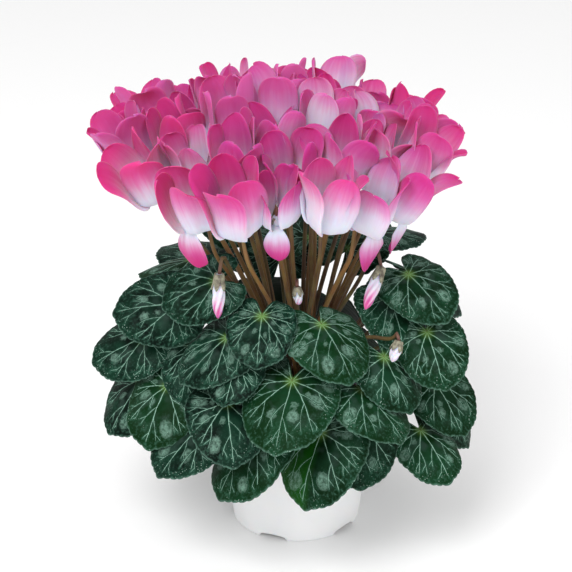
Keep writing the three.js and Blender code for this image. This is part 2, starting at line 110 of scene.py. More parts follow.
# How far apart the leaf stalks of one knob start: across it, and outward for low leaves
ROOT_SPREAD = {"across": 4, "outward": 1.8, "middle": 150, "range": 50}
# Where a leaf stalk ends and the point that steers it there, as shares of the blade's length
PETIOLE = {"end": -0.06, "behind": -0.2, "below": -0.35}
PETIOLE_RISE = {"outward": 0.3, "upward": 0.45, "least": 10}

# Flowers and buds, as in the solids
STALK_KNOB = {"ring": 10, "radius": 5.6, "height": 5, "stretch": 1, "count": 5}
FLOWER_CENTRE = np.array((-13.0, 0.0, 0.0))
FRONT_FLOWERS = (
    (-150, 91, 258, 30, 1, False),
    (-123, 92, 251, 22, 1, True),
    (-105, 95, 252, 16, 1, False),
    (-90, 87, 255, 12, 0.8, True),
    (-71, 95, 255, 16, 0.97, False),
    (-53, 94, 249, 20, 1, True),
    (-36, 93, 250, 26, 0.95, True),
    (-13, 90, 261, 30, 1, False),
)
# First azimuth, how many, step, radius, height, tilt
FLOWER_RINGS = (
    (8, 10, 20, 94.5, 261, 20),
    (-142, 12, 30, 64, 264, 12.5),
    (-96, 6, 60, 33, 279, 7),
    (60, 1, 0, 1, 288, 4),
)
FLOWER_JITTER = {"azimuth": 1, "radius": 1, "zigzag": 4, "height": 2, "tilt": 3, "size": 0.03}
FLOWER_SIZE = 0.95
# Petals spread towards their tips by this many mm, and turn about their length by this many degrees
PETAL_FLARE = {"mean": 0.7, "vary": 0.7}
PETAL_TWIST = {"mean": 19, "vary": 2}
PETAL_JITTER = {"azimuth": 2.4, "hanging": 6, "lean": 0.7, "skew": 3}
PETALS_AROUND = (-144, -72, 0, 72, 144)
PETALS_AROUND_HANGING = (-122, -50, 0, 50, 122)
PETAL_HEIGHT = 40
# Radius, azimuth and height of the neck, heading, swing, length, width, and the point that steers the
# stalk, given like the neck
BUDS = (
    ((87, -125, 214), -110, 6, 30, 8, (59, -125, 182)),
    ((76, -44, 211), -124, 40, 30, 8, (50, -44, 179)),
    ((104, -51, 171), -130, 30, 14, 7, (76, -60, 172)),
    ((60, -90, 200), -60, 10, 12, 6, (36, -90, 168)),
)
# The hook over a bud: where it starts and how high it arches, as shares of the bud's length
BUD_HOOK = {"inward": 0.3, "above": 0.13, "arch": 0.23, "middle": 0.5}
STALK_SPREAD = 3.8
STALK_RISE = {"outward": 0.1, "upward": 0.4}
STALK_TOP = (-1, 0, -1.8)
STALK_BEND = (-5, 0, -42)


# Numbers and curves


def vary(i, k):
    """A steady number from -1 to 1 for item i and purpose k, the same as in the solids."""
    wave = math.sin(i * 12.9898 + k * 78.233) * 43758.5453
    return 2 * (wave - math.floor(wave)) - 1


def polar(radius, azimuth, height):
    turn = math.radians(azimuth)
    return np.array((radius * math.cos(turn), radius * math.sin(turn), height))


def rotation(axis, degrees):
    """A 4x4 turn about x, y or z."""
    cos, sin = math.cos(math.radians(degrees)), math.sin(math.radians(degrees))
    a, b = {"x": (1, 2), "y": (2, 0), "z": (0, 1)}[axis]
    matrix = np.eye(4)
    matrix[a, a] = cos
    matrix[b, b] = cos
    matrix[a, b] = -sin
    matrix[b, a] = sin
    return matrix


def placed(origin, *turns):
    """A 4x4 frame at an origin, turned by each turn in order."""
    matrix = np.eye(4)
    matrix[:3, 3] = origin
    for turn in turns:
        matrix = matrix @ turn
    return matrix


def in_frame(matrix, points):
    points = np.asarray(points, float)
    return points @ matrix[:3, :3].T + matrix[:3, 3]


def bezier(points, count):
    t = np.linspace(0, 1, count)[:, None]
    a, b, c, d = points
    return (1 - t) ** 3 * a + 3 * (1 - t) ** 2 * t * b + 3 * (1 - t) * t**2 * c + t**3 * d


def smooth(points, count):
    """Points evenly spaced along a smooth curve through the given ones."""
    points = np.asarray(points, float)
    gaps = np.linalg.norm(np.diff(points, axis=0), axis=1)
    knots = np.concatenate(([0.0], np.cumsum(gaps)))
    slopes = np.gradient(points, knots, axis=0)
    fine = np.linspace(0, knots[-1], 16 * len(points))
    index = np.clip(np.searchsorted(knots, fine, side="right") - 1, 0, len(gaps) - 1)
    span = gaps[index][:, None]
    t = (fine - knots[index])[:, None] / span
    curve = (
        (2 * t**3 - 3 * t**2 + 1) * points[index]
        + (t**3 - 2 * t**2 + t) * span * slopes[index]
        + (3 * t**2 - 2 * t**3) * points[index + 1]
        + (t**3 - t**2) * span * slopes[index + 1]
    )
    walked = np.concatenate(([0.0], np.cumsum(np.linalg.norm(np.diff(curve, axis=0), axis=1))))
    even = np.linspace(0, walked[-1], count)
    return np.column_stack([np.interp(even, walked, curve[:, k]) for k in range(points.shape[1])])


def unit(vectors):
    return vectors / np.maximum(np.linalg.norm(vectors, axis=-1, keepdims=True), 1e-9)


def grid(rows, columns, closed=False):
    """Corner numbers of the quads between rows of points."""
    row, column = np.mgrid[0 : rows - 1, 0 : columns - (not closed)]
    a = row * columns + column
    b = row * columns + (column + 1) % columns
    return np.stack((a, b, b + columns, a + columns), -1).reshape(-1, 4)


def capped(rows, columns):
    """Faces of closed rings of points, with a fan at each end to one of the two points after them."""
    step = np.arange(columns)
    onward = (step + 1) % columns
    first = rows * columns
    last_ring = first - columns
    start = np.column_stack((np.full(columns, first), onward, step))
    end = np.column_stack((np.full(columns, first + 1), last_ring + step, last_ring + onward))
    return grid(rows, columns, True), start, end


class Skin:
    """The points, faces and marks of a piece as it grows."""

    def __init__(self):
        self.points = []
        self.faces = []
        self.looks = []
        self.marks = []
        self.count = 0

    def add(self, points, faces, look=0, **marks):
        """Adds points and groups of faces, with one number for each mark or one for each point."""
        points = np.asarray(points, float).reshape(-1, 3)
        for group in faces:
            self.faces.append(np.asarray(group) + self.count)
            self.looks.append(np.full(len(group), look))
        self.marks.append((len(points), marks))
        self.points.append(points)
        self.count += len(points)


def make_piece(name, skin, materials, slot, *nodes):
    """Makes a piece of a skin, which stands for the solids of these nodes."""
    mesh = bpy.data.meshes.new(name)
    points = (np.concatenate(skin.points) + POT_AXIS) * MM
    corners = np.concatenate([group.ravel() for group in skin.faces])
    sizes = np.concatenate([np.full(len(group), group.shape[1]) for group in skin.faces])
    mesh.vertices.add(len(points))
    mesh.vertices.foreach_set("co", points.ravel())
    mesh.loops.add(len(corners))
    mesh.loops.foreach_set("vertex_index", corners.astype(np.int32))
    mesh.polygons.add(len(sizes))
    mesh.polygons.foreach_set("loop_start", (np.cumsum(sizes) - sizes).astype(np.int32))
    mesh.polygons.foreach_set("material_index", np.concatenate(skin.looks).astype(np.int32))
    mesh.polygons.foreach_set("use_smooth", np.ones(len(sizes), bool))
    names = sorted({mark for _, marks in skin.marks for mark in marks})
    for mark in names:
        values = [np.broadcast_to(np.ravel(marks.get(mark, 0.0)), count) for count, marks in skin.marks]
        attribute = mesh.attributes.new(mark, "FLOAT", "POINT")
        attribute.data.foreach_set("value", np.concatenate(values).astype(np.float32))
    mesh.update(calc_edges=True)
    for material in materials:
        mesh.materials.append(material)
    piece = bpy.data.objects.new(name, mesh)
    bpy.context.scene.collection.objects.link(piece)
    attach(piece, "root")
    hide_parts(*nodes)
    return piece


# A direction that no stalk starts in
TUBE_SIDE = (0.31, 0.95, 0.05)


def tube(skin, path, radii, sides, look=0, **marks):
    """A round closed tube along a path."""
    ahead = unit(np.gradient(path, axis=0))
    over = np.zeros_like(path)
    over[0] = unit(np.cross(ahead[0], TUBE_SIDE))
    for i in range(1, len(path)):
        over[i] = unit(over[i - 1] - ahead[i] * np.dot(over[i - 1], ahead[i]))
    across = np.cross(ahead, over)
    turn = np.linspace(0, 2 * np.pi, sides, endpoint=False)
    rings = (
        path[:, None]
        + radii[:, None, None] * np.cos(turn)[None, :, None] * over[:, None]
        + radii[:, None, None] * np.sin(turn)[None, :, None] * across[:, None]
    )
    points = np.concatenate((rings.reshape(-1, 3), path[:1], path[-1:]))
    spread = np.concatenate((np.repeat(np.linspace(0, 1, len(path)), sides), (0, 1)))
    skin.add(points, capped(len(path), sides), look, length_share=spread, **marks)


def lathe(skin, profile, columns, shape=None):
    """A closed turned form from [radius, height] rows that start and end on the axis."""
    profile = np.asarray(profile, float)
    turn = np.linspace(0, 2 * np.pi, columns, endpoint=False)
    radius, height = profile[1:-1].T[:, :, None]
    rings = np.stack((radius * np.cos(turn), radius * np.sin(turn), height + 0 * turn), -1)
    if shape:
        rings = shape(rings, turn)
    points = np.concatenate((rings.reshape(-1, 3), [(0, 0, profile[0, 1]), (0, 0, profile[-1, 1])]))
    skin.add(points, capped(len(rings), columns))


def add_sheet(skin, place, form, half, look, **marks):
    """A thin form as two skins with a closed edge. Half is half its thickness, or that of each point."""
    rows, columns = form.shape[:2]
    count = rows * columns
    outward = unit(np.cross(np.gradient(form, axis=1), np.gradient(form, axis=0)))
    offset = outward * np.broadcast_to(half, (rows, columns))[..., None]
    faces = grid(rows, columns)
    loop = np.concatenate(
        (
            np.arange(columns - 1),
            np.arange(columns - 1, count - 1, columns),
            np.arange(count - 1, count - columns, -1),
            np.arange(count - columns, 0, -columns),
        )
    )
    onward = np.roll(loop, -1)
    rim = np.column_stack((loop, loop + count, onward + count, onward))
    points = np.concatenate(((form + offset).reshape(-1, 3), (form - offset).reshape(-1, 3)))
    skin.add(in_frame(place, points), (faces, faces[:, ::-1] + count, rim), look, **marks)


# Materials


def linear(code):
    """The linear colour of an sRGB hex code."""
    parts = [int(code[i : i + 2], 16) / 255 for i in (1, 3, 5)]
    return (*[p / 12.92 if p <= 0.04045 else ((p + 0.055) / 1.055) ** 2.4 for p in parts], 1.0)


def new_material(name, color, **settings):
    """A material, its main shader, and the function that adds a node with settings and links."""
    material = bpy.data.materials.new(name)
    material.use_nodes = True
    tree = material.node_tree
    shader = tree.nodes["Principled BSDF"]
    shader.inputs["Base Color"].default_value = linear(color)
    for socket, value in settings.items():
        shader.inputs[socket.replace("_", " ")].default_value = value

    def node(kind, inputs=None, out=0, **options):
        made = tree.nodes.new("ShaderNode" + kind)
        for option, value in options.items():
            setattr(made, option, value)
        for socket, value in (inputs or {}).items():
            if isinstance(value, bpy.types.NodeSocket):
                tree.links.new(value, made.inputs[socket])
            else:
                made.inputs[socket].default_value = value
        return made.outputs[out]

    def link(source, socket):
        tree.links.new(source, shader.inputs[socket])

    return material, node, link


FACTOR = 0
COLOR_A = 6
COLOR_B = 7
COLOR_OUT = 2
RANGE = ("Value", "From Min", "From Max", "To Min", "To Max")


def paint(node, base, *layers):
    """Lays colours over a base, each with the parts whose product says how far it covers.

    A part is a socket, a number, or a value with the range it runs over and the range it is turned to.
    """
    for code, *parts in layers:
        cover = None
        for part in parts:
            if isinstance(part, tuple):
                part = node("MapRange", dict(zip(RANGE, part)))
            cover = part if cover is None else node("Math", {0: cover, 1: part}, operation="MULTIPLY")
        mixed = {FACTOR: cover, COLOR_A: base, COLOR_B: linear(code)}
        base = node("Mix", mixed, COLOR_OUT, data_type="RGBA")
    return base


# Widths of the leaf's patterns in mm
GREEN_PATCH = 14.29
GREY_PATCH = 9.09
LEAF_GRAIN = 2
FLECK_GAP = 1.613
# How far apart the leaves, and the petals, lie in the noise that patterns them
LEAF_DEPTH = 97.0
PETAL_DEPTH = 61.0


def leaf_material():
    """Living leaf with a thin waxy skin: very dark, satin, silvery where air lies under the skin."""
    material, node, link = new_material(
        "leaf_blade", "#16362A", Roughness=0.5, IOR=1.45, Specular_IOR_Level=0.06
    )
    names = ("along", "across", "seed", "share", "near", "spot", "vein", "under", "tone", "warm")
    mark = {name: node("Attribute", attribute_name=name, out="Fac") for name in names}
    share = mark["share"]
    depth = node("Math", {0: mark["seed"], 1: LEAF_DEPTH}, operation="MULTIPLY")
    place = node("CombineXYZ", {0: mark["along"], 1: mark["across"], 2: depth})
    broad = node("TexNoise", {"Vector": place, "Scale": 1 / GREEN_PATCH, "Detail": 2.0})
    grain = node("TexNoise", {"Vector": place, "Scale": 1 / LEAF_GRAIN, "Detail": 3.0, "Roughness": 0.6})
    cloud = node("TexNoise", {"Vector": place, "Scale": 1 / GREY_PATCH, "Detail": 1.0}, out="Color")
    flecks = node("TexVoronoi", {"Vector": place, "Scale": 1 / FLECK_GAP, "Randomness": 1.0})
    sway = node("MapRange", dict(zip(RANGE, (grain, 0.3, 0.7, -1.4, 1.4))))
    rim = node("Math", {0: mark["spot"], 1: sway}, operation="ADD")
    base = paint(
        node,
        linear("#02110A"),
        # Two greens that wander into each other, and the yellow-green of some leaves
        ("#0F3022", (broad, 0.38, 0.66)),
        ("#12470C", mark["tone"]),
        # Greyer in places near the stalk
        ("#344840", (cloud, 0.5, 0.62), (share, 0.95, 0.3, 0.0, 0.6)),
        # Paler between the smallest veins towards the margin
        ("#4F7D69", (grain, 0.5, 0.72), (share, 0.35, 0.95, 0.0, 0.34)),
        # Round silvery blotches between the veins, crisp at the edge and cloudy inside
        ("#7CA290", (rim, 0.35, -0.75), (mark["near"], 0.6, 1.2), (grain, 0.35, 0.65, 0.15, 0.66)),
        # Small silvery flecks near the margin
        ("#B9D3C6", (flecks, 0.22, 0.12), (share, 0.66, 0.88, 0.0, 0.6), (broad, 0.49, 0.57)),
        # Paler beside the veins and at the very margin
        ("#4B7F69", (mark["near"], 1.3, 0.3, 0.0, 0.25)),
        ("#6E9684", (share, 0.97, 1.0), (grain, 0.3, 0.6, 0.1, 0.5)),
        ("#9AC2AF", mark["vein"], (grain, 0.3, 0.65, 0.5, 0.95)),
        # Warmer where the stalk joins, and dull underneath
        ("#6F9440", mark["warm"]),
        ("#1E2E22", mark["under"]),
    )
    link(base, "Base Color")
    link(node("Bump", {"Height": grain, "Strength": 0.3, "Distance": 0.4 * MM}), "Normal")
    return material


def petal_material():
    """Living petal: soft, almost matt, with light passing into it. White at the mouth, pink beyond."""
    material, node, link = new_material(
        "petal",
        "#CC5595",
        Roughness=0.6,
        IOR=1.4,
        Specular_IOR_Level=0.25,
        Subsurface_Weight=0.45,
        Subsurface_Scale=0.004,
        Sheen_Weight=0.1,
        Sheen_Roughness=0.4,
    )
    names = ("rise", "across", "seed", "pale", "inner", "red", "dusty")
    mark = {name: node("Attribute", attribute_name=name, out="Fac") for name in names}
    # Ten streaks across a petal, some 2.6 mm wide, and fine lines a seventh as wide
    side = node("Math", {0: mark["across"], 1: 5.0}, operation="MULTIPLY")
    depth = node("Math", {0: mark["seed"], 1: PETAL_DEPTH}, operation="MULTIPLY")
    lengthwise = node("CombineXYZ", {0: side, 1: mark["rise"], 2: depth})
    streak = node("TexNoise", {"Vector": lengthwise, "Scale": 1.0, "Detail": 4.0, "Roughness": 0.6})
    fine = node("TexNoise", {"Vector": lengthwise, "Scale": 7.0, "Detail": 2.0})
    # How far past its white part a point lies
    spread = node("MapRange", dict(zip(RANGE, (streak, 0.25, 0.75, -0.055, 0.055))))
    reach = node("Math", {0: mark["rise"], 1: mark["pale"]}, operation="SUBTRACT")
    reach = node("Math", {0: reach, 1: spread}, operation="ADD")
    level = node("MapRange", dict(zip(RANGE, (reach, -0.24, 0.4))))
    ramp = node("ValToRGB", {"Fac": level})
    elements = material.node_tree.nodes[-1].color_ramp.elements
    elements[0].color = linear("#D9D7E5")
    elements[1].color = linear("#BC3488")
    for position, code in ((0.26, "#D6CADE"), (0.5, "#D093C0"), (0.74, "#C75BA0")):
        elements.new(position).color = linear(code)
    # Where the painted highlight of the edge falls
    edge = node("Math", {0: mark["across"]}, operation="ABSOLUTE")
    edge = node("Math", {0: edge, 1: mark["rise"]}, operation="MAXIMUM")
    base = paint(
        node,
        ramp,
        ("#DA3880", mark["red"], level),
        ("#BC78B6", mark["dusty"]),
        # The inner face is a deeper magenta, partly its own deeper tone and partly painted shade inside the
        # cup
        ("#AC1E6C", mark["inner"], level, 0.6),
        ("#B83A8A", (fine, 0.3, 0.7, 0.0, 0.05)),
        # A painted highlight along the petal's side edges and tip
        ("#EBBBD9", (edge, 0.95, 1.0, 0.0, 0.12)),
    )
    link(base, "Base Color")
    link(node("Bump", {"Height": fine, "Strength": 0.12, "Distance": 0.4 * MM}), "Normal")
    return material


def mottled_material(name, dark, light, grain_width, relief, **settings):
    """A natural skin of two colours that wander into each other. Grain width and relief are in mm."""
    material, node, link = new_material(name, dark, **settings)
    place = node("TexCoord", out="Object")
    scale = 1 / (grain_width * MM)
    grain = node("TexNoise", {"Vector": place, "Scale": scale, "Detail": 5.0, "Roughness": 0.6})
    link(paint(node, linear(dark), (light, (grain, 0.35, 0.65))), "Base Color")
    link(node("Bump", {"Height": grain, "Strength": 0.6, "Distance": relief * MM}), "Normal")
    return material


def stalk_material():
    """Fleshy stalk with a smooth skin: brown, here and there reddish or olive, redder at its young top."""
    material, node, link = new_material("flower_stalk", "#5A4630", Roughness=0.48, IOR=1.42)
    seed = node("Attribute", attribute_name="seed", out="Fac")
    share = node("Attribute", attribute_name="length_share", out="Fac")
    place = node("TexCoord", out="Object")
    # Streaks some 11 mm long
    grain = node("TexNoise", {"Vector": place, "Scale": 1 / (11.11 * MM), "Detail": 4.0})
    base = paint(
        node,
        linear("#3A281A"),
        ("#875F36", seed),
        ("#746A35", (grain, 0.4, 0.7, 0.0, 0.55)),
        ("#7E5050", (share, 0.9, 1.0, 0.0, 0.6)),
    )
    link(base, "Base Color")
    link(node("Bump", {"Height": grain, "Strength": 0.2, "Distance": 0.3 * MM}), "Normal")
    return material


def pot_material():
    """Moulded polypropylene, undyed white: smooth, a little translucent, with a soft broad gloss."""
    material, node, link = new_material(
        "white_polypropylene",
        "#F5F6F7",
        Roughness=0.42,
        IOR=1.49,
        Subsurface_Weight=0.1,
        Subsurface_Scale=0.002,
    )
    place = node("TexCoord", out="Object")
    # The wall waves by a hair over some 33 mm, as thin mouldings do
    wave = node("TexNoise", {"Vector": place, "Scale": 1 / (33.33 * MM), "Detail": 2.0})
    link(paint(node, linear("#F0F1F3"), ("#FAFAFA", wave)), "Base Color")
    link(node("Bump", {"Height": wave, "Strength": 0.15, "Distance": 0.5 * MM}), "Normal")
    return material


LEAF = leaf_material()
PETAL = petal_material()
STALK = stalk_material()
POT = pot_material()
# Peat and bark: dry fibres and crumbs, quite matt
SOIL = mottled_material("potting_soil", "#1C1410", "#4A3628", 2.381, 1.2, Roughness=0.95, IOR=1.4)
# Cork skin: dull, cracked, brown
CORK = mottled_material("tuber_cork", "#2E2118", "#6A4E36", 6.25, 1.5, Roughness=0.85, IOR=1.4)
# Leaf stalk: fleshy and smooth, dull red over green
LEAF_STALK = mottled_material("leaf_stalk", "#4B2F26", "#5D5A34", 16.667, 0.3, Roughness=0.5, IOR=1.42)
# Calyx: thin pale green tissue, flushed brown
CALYX = mottled_material("calyx", "#5A5348", "#A3A189", 3.333, 0.3, Roughness=0.6, IOR=1.4)


# Pot, soil and tuber

# The pot's outline up to the wall, as [out from the foot's radius, height]
FOOT_OUTLINE = (
    (-3, FOOT_HEIGHT), (-3, 2), (-3, 0.4), (-2.6, 0), (-0.9, 0), (-0.25, 0.25), (0, 0.9), (0.5, 4.5),
)
WALL_FLARE = 10.2
WALL_RISE = 76.3
# The rim band, over the top and down inside, as [out from the rim's radius, up from the pot's top]
RIM_OUTLINE = (
    (-4.05, -12.7), (-3.7, -12.15), (-3, -12), (-1.7, -11.95), (-1.3, -11.8), (-1.15, -11.3),
    (-0.7, -7.5), (-0.1, -1.2), (-0.15, -0.5), (-0.5, -0.1), (-1, 0), (-2.1, 0), (-2.6, -0.15),
    (-2.9, -0.6), (-4.3, -7), (-5.6, -12),
)
DRAIN_CUT = 8


def make_pot():
    foot = [(FOOT_RADIUS + out, height) for out, height in FOOT_OUTLINE]
    low, start = foot[-1]
    wall = [(low + WALL_FLARE * t, start + WALL_RISE * t) for t in (0.25, 0.5, 0.75, 1)]
    rim = [(RIM_RADIUS + out, POT_HEIGHT + up) for out, up in RIM_OUTLINE]
    inside = FOOT_RADIUS - WALL
    base = FOOT_HEIGHT + WALL
    profile = [(0, FOOT_HEIGHT), (20, FOOT_HEIGHT), (38, FOOT_HEIGHT), *foot, *wall, *rim]
    profile += [(49, 45), (inside + 0.4, 8), (inside, 6.4), (inside - 0.8, base)]
    profile += [(36, base), (20, base), (0, base)]
    between = 360 / FOOT_COUNT

    def arches(rings, turn):
        """Raises the foot into an arch midway between two feet."""
        off = (np.degrees(turn) - FOOT_TURN) % between - 0.5 * between
        arch = ARCH_HEIGHT * np.sqrt(np.clip(1 - (off / ARCH_ANGLE) ** 2, 0, 1))
        low = rings[:, :, 2] < FOOT_HEIGHT
        raised = arch + (1 - arch / FOOT_HEIGHT) * rings[:, :, 2]
        rings[:, :, 2] = np.where(low, raised, rings[:, :, 2])
        return rings

    skin = Skin()
    lathe(skin, profile, 180, shape=arches)
    pot = make_piece("nursery_pot", skin, [POT], "pot", "pot")
    cutters = []
    for i in range(FOOT_COUNT):
        centre = (polar(DRAIN_RING, FOOT_TURN + (i + 0.5) * between, FOOT_HEIGHT) + POT_AXIS) * MM
        size = {"radius": DRAIN_RADIUS * MM, "depth": DRAIN_CUT * MM}
        bpy.ops.mesh.primitive_cylinder_add(vertices=32, location=centre, **size)
        cutter = bpy.context.object
        cutters.append(cutter)
        modifier = pot.modifiers.new("drain", "BOOLEAN")
        modifier.operation = "DIFFERENCE"
        modifier.solver = "EXACT"
        modifier.object = cutter
    shape = pot.evaluated_get(bpy.context.evaluated_depsgraph_get())
    cut = bpy.data.meshes.new_from_object(shape)
    pot.modifiers.clear()
    pot.data = cut
    for cutter in cutters:
        bpy.data.objects.remove(cutter)


# The soil's outline up its side, and down the hollow where the tuber sits
SOIL_SIDE = ((0, 5.9), (42.8, 5.9), (53.6, 82), (53.6, 83.4))
SOIL_HOLLOW = ((31.4, 82.5), (21.7, 71.7), (0, 67.7))
CRUMB_COUNT = 170
CRUMB_SIDES = 6
# Height and width of each ring of a crumb, as shares of its size
CRUMB_RINGS = ((-0.45, 0.8), (0.25, 1.0), (0.7, 0.55))


def make_soil():
    """A level bed with crumbs, hollow where the tuber sits."""
    skin = Skin()
    draw = np.random.default_rng(11)

    def crumbly(rings, turn):
        top = rings[:, :, 2] > SOIL_TOP - 2.5
        rings[:, :, 2] += np.where(top, draw.uniform(-0.9, 0.7, rings.shape[:2]), 0)
        return rings

    across = [(radius, SOIL_TOP) for radius in np.linspace(53.2, 32.2, 14)]
    lathe(skin, [*SOIL_SIDE, *across, *SOIL_HOLLOW], 120, shape=crumbly)
    turn = np.linspace(0, 2 * np.pi, CRUMB_SIDES, endpoint=False)
    for _ in range(CRUMB_COUNT):
        radius = draw.uniform(33, 52)
        azimuth = draw.uniform(0, 360)
        size = draw.uniform(0.8, 2.1)
        centre = polar(radius, azimuth, SOIL_TOP + 0.2)
        points = []
        for level, wide in CRUMB_RINGS:
            for angle in turn:
                reach = size * wide * draw.uniform(0.7, 1.2)
                points.append(centre + (reach * math.cos(angle), reach * math.sin(angle), size * level))
        points += [centre + (0, 0, -size), centre + (0, 0, size * 0.9)]
        skin.add(points, capped(len(CRUMB_RINGS), CRUMB_SIDES))
    make_piece("potting_soil_bed", skin, [SOIL], "soil", "soil")


TUBER_BASE = ((0, 68), (5, 68.2), (9, 68.8), (13, 69.4), (17, 70))
TUBER_SIDE = ((21, 72), (28, 78), (30.9, 84), (30.6, 91), (27.5, 97), (22, 99.4), (10, 99.9))


def make_tuber():
    def lumpy(rings, turn):
        height = rings[:, :, 2]
        lump = 0.5 * np.sin(5 * turn + 0.21 * height) + 0.4 * np.sin(11 * turn - 0.5 * height)
        crack = 0.35 * np.sin(23 * turn + 1.3 * np.sin(0.6 * height))
        rings[:, :, :2] *= (0.98 + 0.008 * (lump + crack))[:, :, None]
        return rings

    skin = Skin()
    lathe(skin, [*TUBER_BASE, *smooth(TUBER_SIDE, 30), (0, TUBER_TOP)], 120, shape=lumpy)
    make_piece("cyclamen_tuber", skin, [CORK], "tuber", "tuber")


# Outline of a knob, as shares of its radius and height, and how deep it sits in the tuber
KNOB_OUTLINE = ((0, 0), (1, 0), (0.98, 0.4), (0.86, 0.85), (0.6, 1.02), (0, 1.06))
KNOB_SUNK = 0.2


def knob(skin, settings, azimuth, look):
    """The woody knob on the tuber from which a group of stalks grows."""
    radius, height = settings["radius"], settings["height"]
    profile = [(radius * out, TUBER_TOP - KNOB_SUNK + height * up) for out, up in KNOB_OUTLINE]

    def stretched(rings, turn):
        rings[:, :, 1] *= settings["stretch"]
        return rings

    part = Skin()
    lathe(part, profile, 24, shape=stretched)
    place = rotation("z", azimuth) @ placed((settings["ring"], 0, 0))
    skin.add(in_frame(place, part.points[0]), part.faces, look)


# Leaves

OUTLINE_POINTS = 81
# How far out each point of the margin moves, from tooth to tooth
TOOTH = (-0.3, 0.16, 0.3, 0.16)
TOP_SHARES = (*(0.05 + 0.0475 * i for i in range(19)), 0.935, 0.96, 0.98, 0.993)
UNDER_SHARES = (0.993, 0.85, 0.55, 0.25)
BLADE_THICKNESS = 0.55
# Heading of each main vein at the stalk and how far it bends towards the tip, in degrees
MAIN_VEINS = ((0, 0), (41, 15), (82, 24), (122, 24), (157, 8))
MAIN_START = 0.6
MAIN_WIDTHS = (0.44, 0.22)
# Where a main vein forks: share of its length, and how wide and long the branch is
FORKS = ((0.36, 0.26, 0.4), (0.58, 0.26, 0.36), (0.78, 0.2, 0.18))
FORK_END = 0.15
FORK_BEND = 22
# The last short branches: heading off the one before, share of the blade's length, widths
TWIG = (38, 0.13, 0.2, 0.13)
# A vein grows in steps of this length, and ends this near to another or to the margin
VEIN_STEP = 2.6
VEIN_GAP = 1.3
VEIN_REACH = 0.94
# Blotches lie between the main veins: heading, nearest and farthest share of the way out
BLOTCHES = ((19, 0.5, 0.78), (60, 0.5, 0.8), (101, 0.5, 0.8), (139, 0.5, 0.76))
# Chance of a second blotch nearer the stalk, where that lies, and chance that one is missing
SECOND_CHANCE = 0.5
SECOND_SHARE = (0.32, 0.44)
MISSING_CHANCE = 0.14
BLOTCH_LENGTH = (3.2, 6.0)
BLOTCH_WIDTH = (2.6, 4.4)
# Beyond this many mm a point is simply outside every blotch
FAR_FROM_BLOTCH = 9.0
# The leaf low at the front that is yellow-green on one half
TWO_TONE_LEAF = 19


def leaf_rows():
    """All leaves in the order of the solids."""
    leaves = list(FRONT_LEAVES)
    jitter = LEAF_JITTER
    for ring, (first, count, step, radius, height, lift, droop, flatter, length) in enumerate(BACK_RINGS):
        for i in range(count):
            n = 10 * ring + i
            zigzag = jitter["zigzag"] if (i + ring) % 2 else -jitter["zigzag"]
            back = math.sin(math.radians(first + step * i))
            leaves.append(
                (
                    first + step * i + jitter["azimuth"] * vary(n, 4),
                    radius + jitter["radius"] * vary(n, 5),
                    height + lift * back + zigzag + jitter["height"] * vary(n, 6),
                    jitter["turn"] * vary(n, 7),
                    droop - flatter * back + jitter["droop"] * vary(n, 8),
                    length * (1 + jitter["length"] * vary(n, 9)),
                    jitter["roll"] * vary(n, 3),
                )
            )
    return leaves


def half_outline():
    """The margin from the tip to the notch at the stalk, as shares of the blade's length."""
    corners = [(r * math.cos(math.radians(a)), r * math.sin(math.radians(a))) for a, r in LEAF_OUTLINE]
    return smooth(corners, OUTLINE_POINTS)


HALF = half_outline()
HALF_ANGLES = np.degrees(np.arctan2(np.abs(HALF[:, 1]), HALF[:, 0]))
HALF_RADII = np.hypot(HALF[:, 0], HALF[:, 1])


